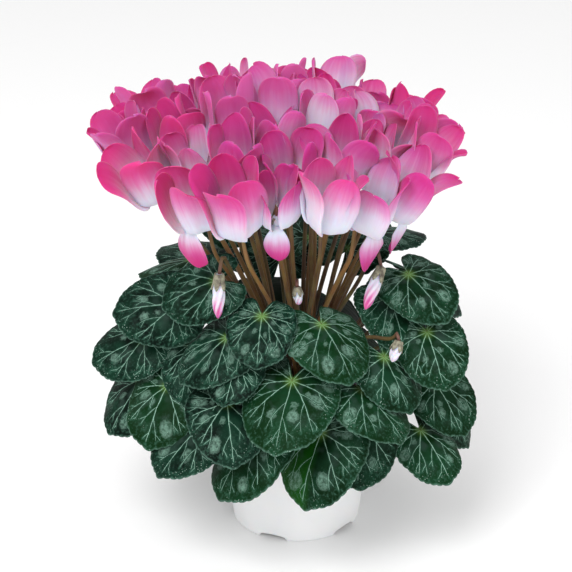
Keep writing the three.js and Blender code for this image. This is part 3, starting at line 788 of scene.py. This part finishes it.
class Leaf:
    """One leaf: its frame, its curved blade and its veins."""

    def __init__(self, number, row):
        self.azimuth, radius, self.height, turn, droop, self.length, roll = row
        self.number = number
        self.draw = np.random.default_rng(500 + number)
        self.frame = placed(
            polar(radius, self.azimuth, self.height),
            rotation("z", self.azimuth + turn),
            rotation("y", droop),
            rotation("x", roll),
        )
        self.bend_across = (BEND_ACROSS + BEND_VARY * vary(number, 1)) / self.length
        self.phase = 3 * vary(number, 2)
        self.seed = 0.5 + 0.5 * vary(number, 30)
        self.veins = []
        self.grow_veins()
        self.vein_points = np.concatenate([path for path, _ in self.veins])
        self.blotches = self.place_blotches()

    def share(self, flat):
        """How far points of the flat blade lie out, from 0 at the stalk to 1 at the margin."""
        angle = np.degrees(np.arctan2(np.abs(flat[..., 1]), flat[..., 0]))
        margin = np.interp(angle, HALF_ANGLES, HALF_RADII) * self.length
        return np.hypot(flat[..., 0], flat[..., 1]) / margin

    def nearest_vein(self, flat):
        gaps = flat.reshape(-1, 1, 2) - self.vein_points[None]
        return np.sqrt(np.min(np.sum(gaps**2, -1), 1)).reshape(flat.shape[:-1])

    def place_blotches(self):
        """Middle, direction and half sizes of each silvery blotch, in mm."""
        blotches = []
        for heading, nearest, farthest in BLOTCHES:
            for side in (1, -1):
                shares = [self.draw.uniform(nearest, farthest)]
                if self.draw.random() < SECOND_CHANCE:
                    shares.append(self.draw.uniform(*SECOND_SHARE))
                for share in shares:
                    if self.draw.random() < MISSING_CHANCE:
                        continue
                    turn = side * math.radians(heading + self.draw.uniform(-5, 5))
                    margin = np.interp(abs(math.degrees(turn)), HALF_ANGLES, HALF_RADII) * self.length
                    middle = share * margin * np.array((math.cos(turn), math.sin(turn)))
                    # The sizes are those of a blotch 0.65 of the way out on a blade of 46 mm
                    size = self.length / 46 * share / 0.65
                    long = size * self.draw.uniform(*BLOTCH_LENGTH)
                    wide = size * self.draw.uniform(*BLOTCH_WIDTH)
                    blotches.append((middle, turn, long, wide))
        return blotches

    def nearest_blotch(self, flat):
        """How far points lie outside the nearest blotch, in mm, less than 0 inside."""
        nearest = np.full(flat.shape[:-1], FAR_FROM_BLOTCH)
        for middle, turn, long, wide in self.blotches:
            off = flat - middle
            along = off[..., 0] * math.cos(turn) + off[..., 1] * math.sin(turn)
            across = off[..., 1] * math.cos(turn) - off[..., 0] * math.sin(turn)
            outside = np.hypot(along / long, across / wide) - 1
            nearest = np.minimum(nearest, outside * math.sqrt(long * wide))
        return nearest

    def surface(self, flat, above, plump=True):
        """Points of the flat blade, in mm from the stalk, bent into the leaf's form and put in place."""
        x, y = flat[..., 0], flat[..., 1]
        share = self.share(flat)
        reach = np.hypot(x, y)
        angle = np.arctan2(y, x)
        bend = BEND_ALONG / self.length
        across = self.bend_across
        z = -(1 - np.cos(bend * x)) / bend - (1 - np.cos(across * y)) / across
        z = z + WAVE * share * reach * np.sin(3 * angle + self.phase)
        # Small ripples at the margin
        ripple = 0.5 * np.sin(7 * angle + 2 * self.phase) + 0.35 * np.sin(13 * angle - self.phase)
        z = z + ripple * share**5
        if plump:
            # The blade swells between its veins
            swell = 1 - np.exp(-((self.nearest_vein(flat) / 2.6) ** 2))
            z = z + 0.42 * swell * np.clip(share * 4, 0, 1) * (1 - share**6)
        z = z + above
        bent = np.stack((np.sin(bend * x) / bend, np.sin(across * y) / across, z), -1)
        return in_frame(self.frame, bent.reshape(-1, 3))

    def add_vein(self, start, heading, bend, length, wide, narrow):
        """Grows one vein in the flat blade until it nears the margin or another vein."""
        steps = max(4, round(length / VEIN_STEP))
        wiggle = self.draw.uniform(-5, 5, steps)
        headings = np.radians(heading + bend * np.linspace(0, 1, steps) + wiggle)
        moves = length / steps * np.column_stack((np.cos(headings), np.sin(headings)))
        path = np.concatenate((start[None], start + np.cumsum(moves, 0)))
        shares = self.share(path)
        others = np.concatenate([old for old, _ in self.veins]) if self.veins else np.empty((0, 2))
        keep = len(path)
        for i in range(1, len(path)):
            touching = i > 2 and len(others) and np.min(np.hypot(*(others - path[i]).T)) < VEIN_GAP
            if shares[i] > VEIN_REACH or touching:
                keep = i
                break
        path = path[:keep]
        if len(path) < 3:
            return []
        self.veins.append((path, np.linspace(wide, narrow, len(path))))
        return [(path, np.degrees(headings))]

    def grow_veins(self):
        mains = []
        for start, bend in MAIN_VEINS:
            for side in (1, -1) if start else (1,):
                heading = side * (start + self.draw.uniform(-4, 4))
                origin = polar(MAIN_START, heading, 0)[:2]
                mains += self.add_vein(origin, heading, -side * bend, 1.12 * self.length, *MAIN_WIDTHS)
        branches = []
        for path, headings in mains:
            way = 1 if self.draw.random() < 0.5 else -1
            for share, wide, reach in FORKS:
                way = -way
                at = int((share + self.draw.uniform(-0.05, 0.05)) * (len(path) - 1))
                if at < 1 or at >= len(path) - 1:
                    continue
                heading = headings[at] + way * self.draw.uniform(30, 44)
                length = self.length * reach * self.draw.uniform(0.85, 1.15)
                branches += self.add_vein(path[at], heading, -way * FORK_BEND, length, wide, FORK_END)
        off, reach, wide, narrow = TWIG
        for path, headings in branches:
            if len(path) < 5:
                continue
            at = len(path) * 3 // 5
            way = 1 if self.draw.random() < 0.5 else -1
            self.add_vein(path[at], headings[at] + way * off, 0, reach * self.length, wide, narrow)

    def add_blade(self, skin):
        """Both faces of the blade with a thin rounded edge, and its veins."""
        margin = np.concatenate((HALF, (HALF * (1, -1))[-2:0:-1])) * self.length
        columns = len(margin)
        # Teeth fade out towards the notch at the stalk, and inwards from the margin
        calm = np.clip(np.hypot(margin[:, 0], margin[:, 1]) / (0.3 * self.length) - 0.6, 0, 1)
        teeth = unit(margin) * (np.resize(TOOTH, columns) * calm)[:, None]
        levels = [(share, 0.0) for share in TOP_SHARES]
        levels.append((1.0, -0.5 * BLADE_THICKNESS))
        levels += [(share, -BLADE_THICKNESS) for share in UNDER_SHARES]
        shares, drops = np.array(levels).T
        cut = np.clip((shares - 0.9) / 0.1, 0, 1)
        flat = shares[:, None, None] * margin + cut[:, None, None] * teeth
        points = self.surface(flat, np.repeat(drops[:, None], columns, 1))
        centre = self.surface(np.zeros((2, 2)), np.array((0.0, -BLADE_THICKNESS)), plump=False)
        x, y = flat.reshape(-1, 2).T
        distance = np.append(np.hypot(x, y), (0, 0))
        skin.add(
            np.concatenate((points, centre)),
            [group[:, ::-1] for group in capped(len(levels), columns)],
            0,
            along=np.append(x, (0, 0)),
            across=np.append(y, (0, 0)),
            seed=self.seed,
            share=np.append(np.repeat(shares, columns), (0, 0)),
            near=np.append(self.nearest_vein(flat).ravel(), (0, 0)),
            spot=np.append(self.nearest_blotch(flat).ravel(), (FAR_FROM_BLOTCH, FAR_FROM_BLOTCH)),
            under=np.append(np.repeat(drops <= -BLADE_THICKNESS, columns), (0, 1)).astype(float),
            tone=self.tone(y),
            warm=0.8 * np.exp(-((distance / 3.2) ** 2)),
        )
        for path, widths in self.veins:
            self.add_strip(skin, path, widths)

    def vein_strength(self):
        """The veins of low leaves are silvery, those of high leaves fainter."""
        return float(np.clip(1.25 - (self.height - 95) / 190, 0.66, 1.2)) + 0.1 * vary(self.number, 32)

    def tone(self, across):
        """How yellow-green the leaf is."""
        if self.number == TWO_TONE_LEAF:
            return np.append(np.clip(0.55 - across / 8, 0.15, 0.95), (0.5, 0.5))
        return max(0.0, 0.25 * vary(self.number, 31))

    def add_strip(self, skin, path, widths):
        """A vein as a low ridge on the upper face."""
        count = len(path)
        ahead = unit(np.gradient(path, axis=0))
        side = np.column_stack((-ahead[:, 1], ahead[:, 0]))
        flat = np.stack((path - side * widths[:, None], path, path + side * widths[:, None]), 1)
        above = np.column_stack((np.full(count, -0.05), 0.1 + 0.22 * widths, np.full(count, -0.05)))
        above[-1] = -0.05
        points = self.surface(flat, above)
        distance = np.hypot(flat[..., 0], flat[..., 1]).ravel()
        share = self.share(flat).ravel()
        # Fainter close to the stalk and at the margin
        fade = np.clip(0.6 + distance / 20, 0, 1) * np.clip((1.1 - share) * 4, 0.5, 1)
        skin.add(
            points,
            (grid(count, 3),),
            0,
            along=flat[..., 0].ravel(),
            across=flat[..., 1].ravel(),
            seed=self.seed,
            share=share,
            near=0.0,
            spot=FAR_FROM_BLOTCH,
            vein=self.vein_strength() * fade,
            warm=0.7 * np.exp(-((distance / 5.5) ** 2)),
        )

    def add_stalk(self, skin, root):
        end = in_frame(self.frame, (0, 0, -0.3))
        low_end = in_frame(self.frame, (0, 0, PETIOLE["end"] * self.length))
        rise = root + PETIOLE_RISE["outward"] * (low_end - root)
        climb = PETIOLE_RISE["upward"] * (low_end[2] - root[2]) + PETIOLE_RISE["least"]
        rise[2] = max(rise[2], root[2] + climb)
        behind = in_frame(self.frame, (PETIOLE["behind"] * self.length, 0, PETIOLE["below"] * self.length))
        path = bezier((root, rise, behind, end), 18)
        radii = np.interp(np.linspace(0, 1, 18), (0, 0.1, 0.8, 1), (1.7, 1.45, 1.15, 1.3))
        tube(skin, path, radii, 8, 1)


def make_leaves():
    count = LEAF_KNOB["count"]
    sector = 360 / count
    skins = [Skin() for _ in range(count)]
    for i, skin in enumerate(skins):
        knob(skin, LEAF_KNOB, sector * i, 2)
    for number, row in enumerate(leaf_rows()):
        leaf = Leaf(number, row)
        group = (round(leaf.azimuth / sector) + count) % count
        off = ((leaf.azimuth - sector * group + 180) % 360 - 180) / (sector / 2)
        low = (ROOT_SPREAD["middle"] - leaf.height) / ROOT_SPREAD["range"]
        out = LEAF_KNOB["ring"] + ROOT_SPREAD["outward"] * low
        start = (out, ROOT_SPREAD["across"] * off, TUBER_TOP + 0.5 * LEAF_KNOB["height"])
        root = in_frame(rotation("z", sector * group), start)
        leaf.add_stalk(skins[group], root)
        leaf.add_blade(skins[group])
    for i, skin in enumerate(skins):
        name = f"leaves_{i + 1:02d}"
        make_piece("cyclamen_" + name, skin, [LEAF, LEAF_STALK, CORK], "leaf", name)


# Flowers, buds and their stalks

# A petal from the mouth to the tip: radius, height, half width, share of the twist
PETAL_UP = (
    (4.6, 0.6, 2.8, 0),
    (7.2, -1.7, 5.2, 0.15),
    (10.4, -0.2, 8.4, 0.4),
    (12.5, 5.5, 10.8, 0.75),
    (13.3, 13, 12.2, 1),
    (13.2, 22, 13.2, 1),
    (13.0, 30, 13.2, 1),
    (13.0, 36, 11.8, 1),
    (13.0, 39.6, 9.4, 1),
    (13.0, 41.6, 6.2, 1),
    (13.0, 42.4, 3.0, 1),
    (13.0, 42.6, 0.6, 1),
)
PETAL_DOWN = (
    (4.6, 0.4, 2.6, 0),
    (8.2, -1.6, 5.2, 0),
    (10.2, -5.5, 8.0, 0),
    (11.3, -12, 10.2, 0),
    (11.3, -19, 10.0, 0),
    (10.6, -25, 7.6, 0),
    (10.3, -28, 4.2, 0),
    (10.2, -29, 0.8, 0),
)
PETAL_ROWS = 21
PETAL_COLUMNS = 13
PETAL_EDGE_HALF = 0.07
PETAL_SKIN_HALF = 0.25
FLOWER_MOUTH = (
    (0, 3.2), (2.2, 3), (3.2, 0.5), (4.3, -1.3), (5.2, -1.3), (5.6, -0.4), (4.6, 1.5), (4.2, 4), (2.6, 6),
    (0, 6.6),
)
# How petals differ from one another: the range of each random draw, in mm, degrees or shares
PETAL_WIDTH = (0.86, 1.1)
PETAL_LEAN = (-1.0, 2.5)
PETAL_LENGTH = (0.86, 1.13)
# Some petals narrow towards the tip, by this share
NARROW_CHANCE = 0.4
NARROWING = (0.2, 0.5)
# The upper part bends over outwards from this share of the length on, on some petals right down
BEND_START = (0.32, 0.6)
BEND = (-10, 38)
BEND_AT_RIM = (10, 40)
STRONG_CHANCE = 0.34
STRONG_BEND = (45, 110)
ROLL = (-42, 42)
FOLD = (0.2, 1.2)
PLEAT = (0.1, 0.55)
RUFFLE = (0.6, 1.9)
RUFFLE_PACE = (5, 8)
SWAY = (-7.0, 7.0)
HANGING_SWAY = (-1.5, 1.5)
BOW = (-0.9, 0.9)
# The edges of a petal curve in by this many mm
PETAL_CUP = 1.2
# One whole wave in radians: where in it a fold or ruffle starts is drawn
FULL_TURN = 6.28
# Share of a petal that is white, how red and how dusty a bloom is. Below 0 it is neither.
FRONT_PALE = (0.42, 0.54)
OTHER_PALE = (0.36, 0.66)
HANGING_PALE = 0.36
RED = (-0.5, 1.0)
DUSTY = (-0.3, 0.5)
# Blooms farther out than this stand at the rim of the dome, where petals bend further
RIM_OF_DOME = 80
# Where the thin top of a flower's stalk passes behind the mouth and hooks over into its back
STALK_HOOK = ((-8.6, 0, -8), (-8.6, 0, 1), (-7.4, 0, 8.5), (-3.8, 0, 12), (-0.6, 0, 10), (0, 0, 6.5))


def flower_rows():
    """All flowers in the order of the solids: azimuth, radius, height, tilt, size, hanging."""
    flowers = list(FRONT_FLOWERS)
    jitter = FLOWER_JITTER
    for first, count, step, radius, height, tilt in FLOWER_RINGS:
        for i in range(count):
            n = len(flowers)
            zigzag = jitter["zigzag"] if i % 2 else -jitter["zigzag"]
            flowers.append(
                (
                    first + step * i + jitter["azimuth"] * vary(n, 10),
                    radius + jitter["radius"] * vary(n, 11),
                    height + zigzag + jitter["height"] * vary(n, 12),
                    tilt + jitter["tilt"] * vary(n, 13),
                    FLOWER_SIZE + jitter["size"] * vary(n, 14),
                    False,
                )
            )
    return flowers


def around(radius, along, height, azimuth):
    cos, sin = math.cos(math.radians(azimuth)), math.sin(math.radians(azimuth))
    return np.stack((radius * cos - along * sin, radius * sin + along * cos, height + 0 * along), -1)


def petal_form(rows, azimuth, flare, twist, slant, draw, hangs, rim):
    """The middle surface of a petal in the flower's own frame, as rows of points."""
    radius, height, half, turning = smooth(rows, PETAL_ROWS).T
    across = np.linspace(-1, 1, PETAL_COLUMNS)
    share = np.linspace(0, 1, PETAL_ROWS)
    high = np.clip(height / PETAL_HEIGHT, 0, 1.1)
    half = half * draw.uniform(*PETAL_WIDTH)
    outward = max(0.0, math.cos(math.radians(azimuth)))
    over = np.zeros(PETAL_ROWS)
    if hangs:
        radius = radius + flare * high
    else:
        radius = radius + (flare + draw.uniform(*PETAL_LEAN)) * high
        height = height * np.where(height > 0, draw.uniform(*PETAL_LENGTH), 1)
        if draw.random() < NARROW_CHANCE:
            half = half * (1 - draw.uniform(*NARROWING) * np.clip(share - 0.5, 0, 1) / 0.5)
        start = draw.uniform(*BEND_START)
        bend = draw.uniform(*BEND) + rim * draw.uniform(*BEND_AT_RIM) * outward
        if draw.random() < STRONG_CHANCE:
            bend = draw.uniform(*STRONG_BEND)
        over = np.radians(bend) * np.clip((share - start) / (1 - start), 0, 1) ** 1.3
    # The middle line from mouth to tip, with the bend added
    steps = np.diff(np.column_stack((radius, height)), axis=0)
    cos, sin = np.cos(over[1:]), np.sin(over[1:])
    steps = np.column_stack((steps[:, 0] * cos + steps[:, 1] * sin, steps[:, 1] * cos - steps[:, 0] * sin))
    line = np.cumsum(np.vstack(((radius[0], height[0]), steps)), axis=0)
    ahead = unit(np.gradient(line, axis=0))
    away = np.column_stack((ahead[:, 1], -ahead[:, 0])) * (-1 if hangs else 1)
    rise = share[:, None]
    side = half[:, None] * across
    edge = np.abs(across)
    # The roll, the cup and the small folds of the petal
    upper = np.clip(rise - 0.4, 0, 1) / 0.6
    turn = np.radians(twist * turning)[:, None] + np.radians(draw.uniform(*ROLL)) * upper
    cup = -PETAL_CUP * edge**1.6 * np.clip(rise * 3, 0, 1)
    fold = draw.uniform(*FOLD) * np.cos(np.pi * across) * np.sin(np.pi * rise)
    pleat = draw.uniform(*PLEAT)
    pleats = pleat * np.sin(5.5 * across + draw.uniform(0, FULL_TURN)) * np.sin(np.pi * rise**0.7)
    shift = draw.uniform(0, FULL_TURN)
    pace = draw.uniform(*RUFFLE_PACE)
    ruffle = draw.uniform(*RUFFLE) * edge**2.4 * np.sin(pace * rise + shift + 1.8 * across)
    ruffle = ruffle * np.clip(rise * 2 - 0.4, 0, 1)
    lift = cup + fold + pleats + ruffle + side * np.sin(turn)
    sway = draw.uniform(*(HANGING_SWAY if hangs else SWAY))
    bow = draw.uniform(*BOW)
    out = line[:, :1] + lift * away[:, :1]
    along = side * np.cos(turn) + sway * rise**2 + bow * np.sin(np.pi * rise)
    tilt = slant * (half / half.max() * high)[:, None] * across
    up = line[:, 1:] + lift * away[:, 1:] + tilt * ahead[:, 1:]
    return around(out, along, up, azimuth)


def add_petal(skin, place, form, **marks):
    """A petal, thin at its edge."""
    rows, columns = form.shape[:2]
    half = np.full((rows, columns), PETAL_SKIN_HALF)
    half[:, (0, -1)] = PETAL_EDGE_HALF
    half[-1] = PETAL_EDGE_HALF
    rise = np.tile(np.repeat(np.linspace(0, 1, rows), columns), 2)
    across = np.tile(np.linspace(-1, 1, columns), 2 * rows)
    # The second face is marked for its deeper magenta: partly its own tone, partly painted shade inside the
    # cup
    inside = np.repeat((0.0, 1.0), rows * columns)
    add_sheet(skin, place, form, half, 0, rise=rise, across=across, inner=inside, **marks)


def flower_place(flower):
    azimuth, radius, height, tilt, size, _ = flower
    middle = polar(radius, azimuth, height) + FLOWER_CENTRE
    return placed(middle, rotation("z", azimuth), rotation("y", tilt), np.diag((size, size, size, 1)))


def make_flower(index, flower):
    number = index + 1
    hanging = flower[-1]
    place = flower_place(flower)
    draw = np.random.default_rng(900 + number)
    flare = PETAL_FLARE["mean"] + PETAL_FLARE["vary"] * vary(index, 15)
    twist = PETAL_TWIST["mean"] + PETAL_TWIST["vary"] * vary(index, 16)
    skin = Skin()
    front = number <= len(FRONT_FLOWERS)
    pale = draw.uniform(*(FRONT_PALE if front else OTHER_PALE))
    red = max(0.0, draw.uniform(*RED))
    dusty = 0.0 if front else max(0.0, draw.uniform(*DUSTY))
    for i, heading in enumerate(PETALS_AROUND_HANGING if hanging else PETALS_AROUND):
        n = 6 * number + i
        hangs = hanging and i == 2
        form = petal_form(
            PETAL_DOWN if hangs else PETAL_UP,
            heading + PETAL_JITTER["hanging" if hangs else "azimuth"] * vary(n, 20),
            flare + PETAL_JITTER["lean"] * vary(n, 21),
            twist,
            0 if hangs else PETAL_JITTER["skew"] * vary(n, 22),
            draw,
            hangs,
            1.0 if flower[1] > RIM_OF_DOME else 0.3,
        )
        add_petal(
            skin,
            place,
            form,
            seed=0.5 + 0.5 * vary(n, 23),
            pale=(HANGING_PALE if hangs else pale) + draw.uniform(-0.1, 0.1),
            red=red * draw.uniform(0.5, 1.0),
            dusty=dusty * draw.uniform(0.6, 1.0),
        )
    mouth = Skin()
    lathe(mouth, FLOWER_MOUTH, 30)
    skin.add(in_frame(place, mouth.points[0]), mouth.faces, 0, pale=0.5, seed=0.3)
    for i in range(5):
        add_sepal(skin, place, 72 * i + 36)
    make_piece(f"cyclamen_flower_{number:02d}", skin, [PETAL, CALYX], "petal", f"flower_{number:02d}")


# Sepals of a flower, in mm
SEPAL = {"radius": 5.5, "height": 5.6, "length": 6.2, "width": 2.3, "half": 0.16}
# Sepals of a bud: share of the bud's length on a long bud and on a short one, share of its width, half
# the thickness in mm
BUD_SEPAL = {"long": 0.36, "short": 0.5, "width": 0.62, "half": 0.2}


def add_sepal(skin, place, azimuth):
    """A small pointed sepal that lies against the back of the mouth."""
    t = np.linspace(0, 1, 6)[:, None]
    u = np.linspace(-1, 1, 5)[None]
    along = 0.5 * SEPAL["width"] * np.sqrt(np.clip(1 - t**2, 0.0004, 1)) * u
    out = SEPAL["radius"] * (0.45 + 0.6 * np.sin(t * 1.9)) - 0.4 * u**2
    up = SEPAL["height"] - SEPAL["length"] * 0.75 * t**1.4 + 0 * u
    add_sheet(skin, place, around(out, along, up, azimuth), SEPAL["half"], 1)


# Section of a bud from its tip to its neck: share of the length, share of half the width
BUD_OUTLINE = (
    (0, 0.04), (0.04, 0.28), (0.12, 0.58), (0.3, 0.88), (0.5, 1), (0.7, 0.9), (0.84, 0.72), (0.95, 0.6),
    (1, 0.45),
)
# Ridges round a bud, halved, and how far they wind from tip to neck
FURLS = 2.5
FURL_WIND = 2.6
# How far up each bud is white, above 1 all of it
BUD_PALE = (0.74, 0.7, 1.15, 0.95)
LONG_BUD = 20


def bud_place(bud):
    neck, heading, swing = bud[:3]
    return placed(polar(*neck), rotation("z", heading), rotation("y", -swing))


def make_bud(index, bud):
    """Petals furled round each other into a twisted spindle, under a calyx of five pointed sepals."""
    length, width = bud[3:5]
    place = bud_place(bud)
    skin = Skin()
    table = smooth(BUD_OUTLINE, 26)
    profile = [(0, -length), *((0.5 * width * w, (s - 1) * length) for s, w in table), (0, 0)]

    def furled(rings, turn):
        share = 1 + rings[:, :, 2] / length
        ridge = 1.08 - 0.3 * np.abs(np.cos(FURLS * (turn[None] - FURL_WIND * share))) ** 3
        rings[:, :, :2] *= ridge[:, :, None]
        return rings

    body = Skin()
    lathe(body, profile, 45, shape=furled)
    points = body.points[0]
    share = -points[:, 2] / length
    angle = np.arctan2(points[:, 1], points[:, 0])
    swirl = np.cos(FURLS * (angle - FURL_WIND * (1 - share))) ** 2
    rise = np.clip(share + 0.25 * swirl - 0.1, 0, 1)
    marks = {"rise": rise, "across": angle / 3.2, "pale": BUD_PALE[index], "seed": 0.21 * index, "red": 0.4}
    skin.add(in_frame(place, points), body.faces, 0, **marks)
    for i in range(5):
        add_bud_sepal(skin, place, 72 * i, length, width)
    make_piece(f"cyclamen_bud_{index + 1}", skin, [PETAL, CALYX], "bud", f"bud_{index + 1}")


def add_bud_sepal(skin, place, azimuth, length, width):
    """A pointed sepal that lies over the neck of a bud."""
    t = np.linspace(0, 1, 9)[:, None]
    u = np.linspace(-1, 1, 7)[None]
    reach = BUD_SEPAL["long"] if length > LONG_BUD else BUD_SEPAL["short"]
    along = BUD_SEPAL["width"] * width * 0.5 * np.sqrt(np.clip(1 - t**1.8, 0.001, 1)) * u
    profile = np.interp(1 - reach * t, *zip(*BUD_OUTLINE))
    out = 0.5 * width * (profile * 1.12 + 0.1) - 0.10 * width * u**2 + 0.4 * t**4
    up = -reach * length * t + 0.3 + 0 * u
    add_sheet(skin, place, around(out, along, up, azimuth)[:, ::-1], BUD_SEPAL["half"], 1)


# Radii of a flower's and a bud's stalk: shares of the way up, and mm there
FLOWER_STALK_RADII = ((0, 0.08, 0.75, 0.9, 1), (1.9, 1.55, 1.35, 1.15, 0.9))
BUD_STALK_RADII = ((0, 0.1, 0.85, 1), (1.9, 1.6, 1.3, 1.1))
# How pale brown each bud's stalk is, from 0 to 1
BUD_STALK_TONES = (0.05, 0.0, 0.1, 0.2)


def make_stalks(flowers):
    count = STALK_KNOB["count"]
    sector = 360 / count
    skins = [Skin() for _ in range(count)]
    for i, skin in enumerate(skins):
        knob(skin, STALK_KNOB, sector * i, 1)

    def start(azimuth, end):
        """The knob that a stalk grows from, its root there, and the point that steers it upward."""
        group = (round(azimuth / sector) + 2 * count) % count
        middle = polar(STALK_KNOB["ring"], sector * group, 0)
        root = middle + STALK_SPREAD * unit((end - middle) * (1, 1, 0))
        root[2] = TUBER_TOP + 0.5 * STALK_KNOB["height"]
        rise = root + STALK_RISE["outward"] * (end - root)
        rise[2] = root[2] + STALK_RISE["upward"] * (end[2] - root[2])
        return group, root, rise

    for index, flower in enumerate(flowers):
        place = flower_place(flower)
        end = in_frame(place, STALK_TOP)
        lower = in_frame(place, STALK_BEND)
        group, root, rise = start(flower[0], end)
        path = bezier((root, rise, lower, end), 24)[:20]
        path = smooth(np.concatenate((path[::3], in_frame(place, STALK_HOOK))), 40)
        radii = np.interp(np.linspace(0, 1, 40), *FLOWER_STALK_RADII) * (1 + 0.12 * vary(index, 41))
        tube(skins[group], path, radii, 10, seed=0.5 + 0.5 * vary(index, 40))
    for index, bud in enumerate(BUDS):
        (radius, azimuth, height), _, _, length, _, lower = bud
        end = in_frame(bud_place(bud), (0, 0, 0))
        hook = polar(radius - BUD_HOOK["inward"] * length, azimuth, height + BUD_HOOK["above"] * length)
        group, root, rise = start(azimuth, end)
        path = bezier((root, rise, polar(*lower), hook), 20)[::3]
        top = hook + BUD_HOOK["middle"] * (end - hook)
        top[2] = hook[2] + BUD_HOOK["arch"] * length
        path = smooth(np.concatenate((path[:-1], [hook, top, end])), 44)
        radii = np.interp(np.linspace(0, 1, 44), *BUD_STALK_RADII)
        tube(skins[group], path, radii, 10, seed=BUD_STALK_TONES[index])
    for i, skin in enumerate(skins):
        make_piece(f"cyclamen_stalks_{i + 1}", skin, [STALK, CORK], "stalk", f"flower_stalks_{i + 1}")


make_pot()
make_soil()
make_tuber()
make_leaves()
all_flowers = flower_rows()
for place_in_row, one_flower in enumerate(all_flowers):
    make_flower(place_in_row, one_flower)
for place_in_row, one_bud in enumerate(BUDS):
    make_bud(place_in_row, one_bud)
make_stalks(all_flowers)


# Floor, light and camera


def make_stage():
    bpy.ops.mesh.primitive_plane_add(size=30)
    floor = bpy.context.object
    floor.name = "studio_floor"
    floor_material, _, _ = new_material("studio_floor", "#FFFFFF", Roughness=0.9)
    floor.data.materials.append(floor_material)
    world = bpy.data.worlds.new("studio")
    bpy.context.scene.world = world
    world.use_nodes = True
    background = world.node_tree.nodes["Background"]
    background.inputs["Color"].default_value = (1, 1, 1, 1)
    background.inputs["Strength"].default_value = 0.8


# The lights point at the middle of the plant. Places and sizes of lights and camera are in metres.
LIGHT_TARGET = Vector((0, 0, 0.17))
CAMERA_ELEVATION = math.radians(23)
CAMERA_DISTANCE = 1.2
CAMERA_TARGET = Vector((0.0004, 0.0035, 0.1754))
CAMERA_LENS = 110.3


def add_light(name, location, size, watts):
    data = bpy.data.lights.new(name, "AREA")
    data.size = size
    data.energy = watts
    lamp = bpy.data.objects.new(name, data)
    lamp.location = location
    aim = LIGHT_TARGET - Vector(location)
    lamp.rotation_euler = aim.to_track_quat("-Z", "Y").to_euler()
    bpy.context.scene.collection.objects.link(lamp)


def add_camera():
    data = bpy.data.cameras.new("camera")
    data.lens = CAMERA_LENS
    data.sensor_width = 36
    camera = bpy.data.objects.new("camera", data)
    back = Vector((0, -math.cos(CAMERA_ELEVATION), math.sin(CAMERA_ELEVATION)))
    camera.location = CAMERA_TARGET + CAMERA_DISTANCE * back
    camera.rotation_euler = (-back).to_track_quat("-Z", "Y").to_euler()
    bpy.context.scene.collection.objects.link(camera)
    bpy.context.scene.camera = camera


make_stage()
add_light("key", (-0.6, -1.3, 1.7), 1.0, 27)
add_light("fill", (1.3, -0.9, 0.9), 1.2, 5)
add_camera()
bpy.context.scene.view_settings.view_transform = "Standard"
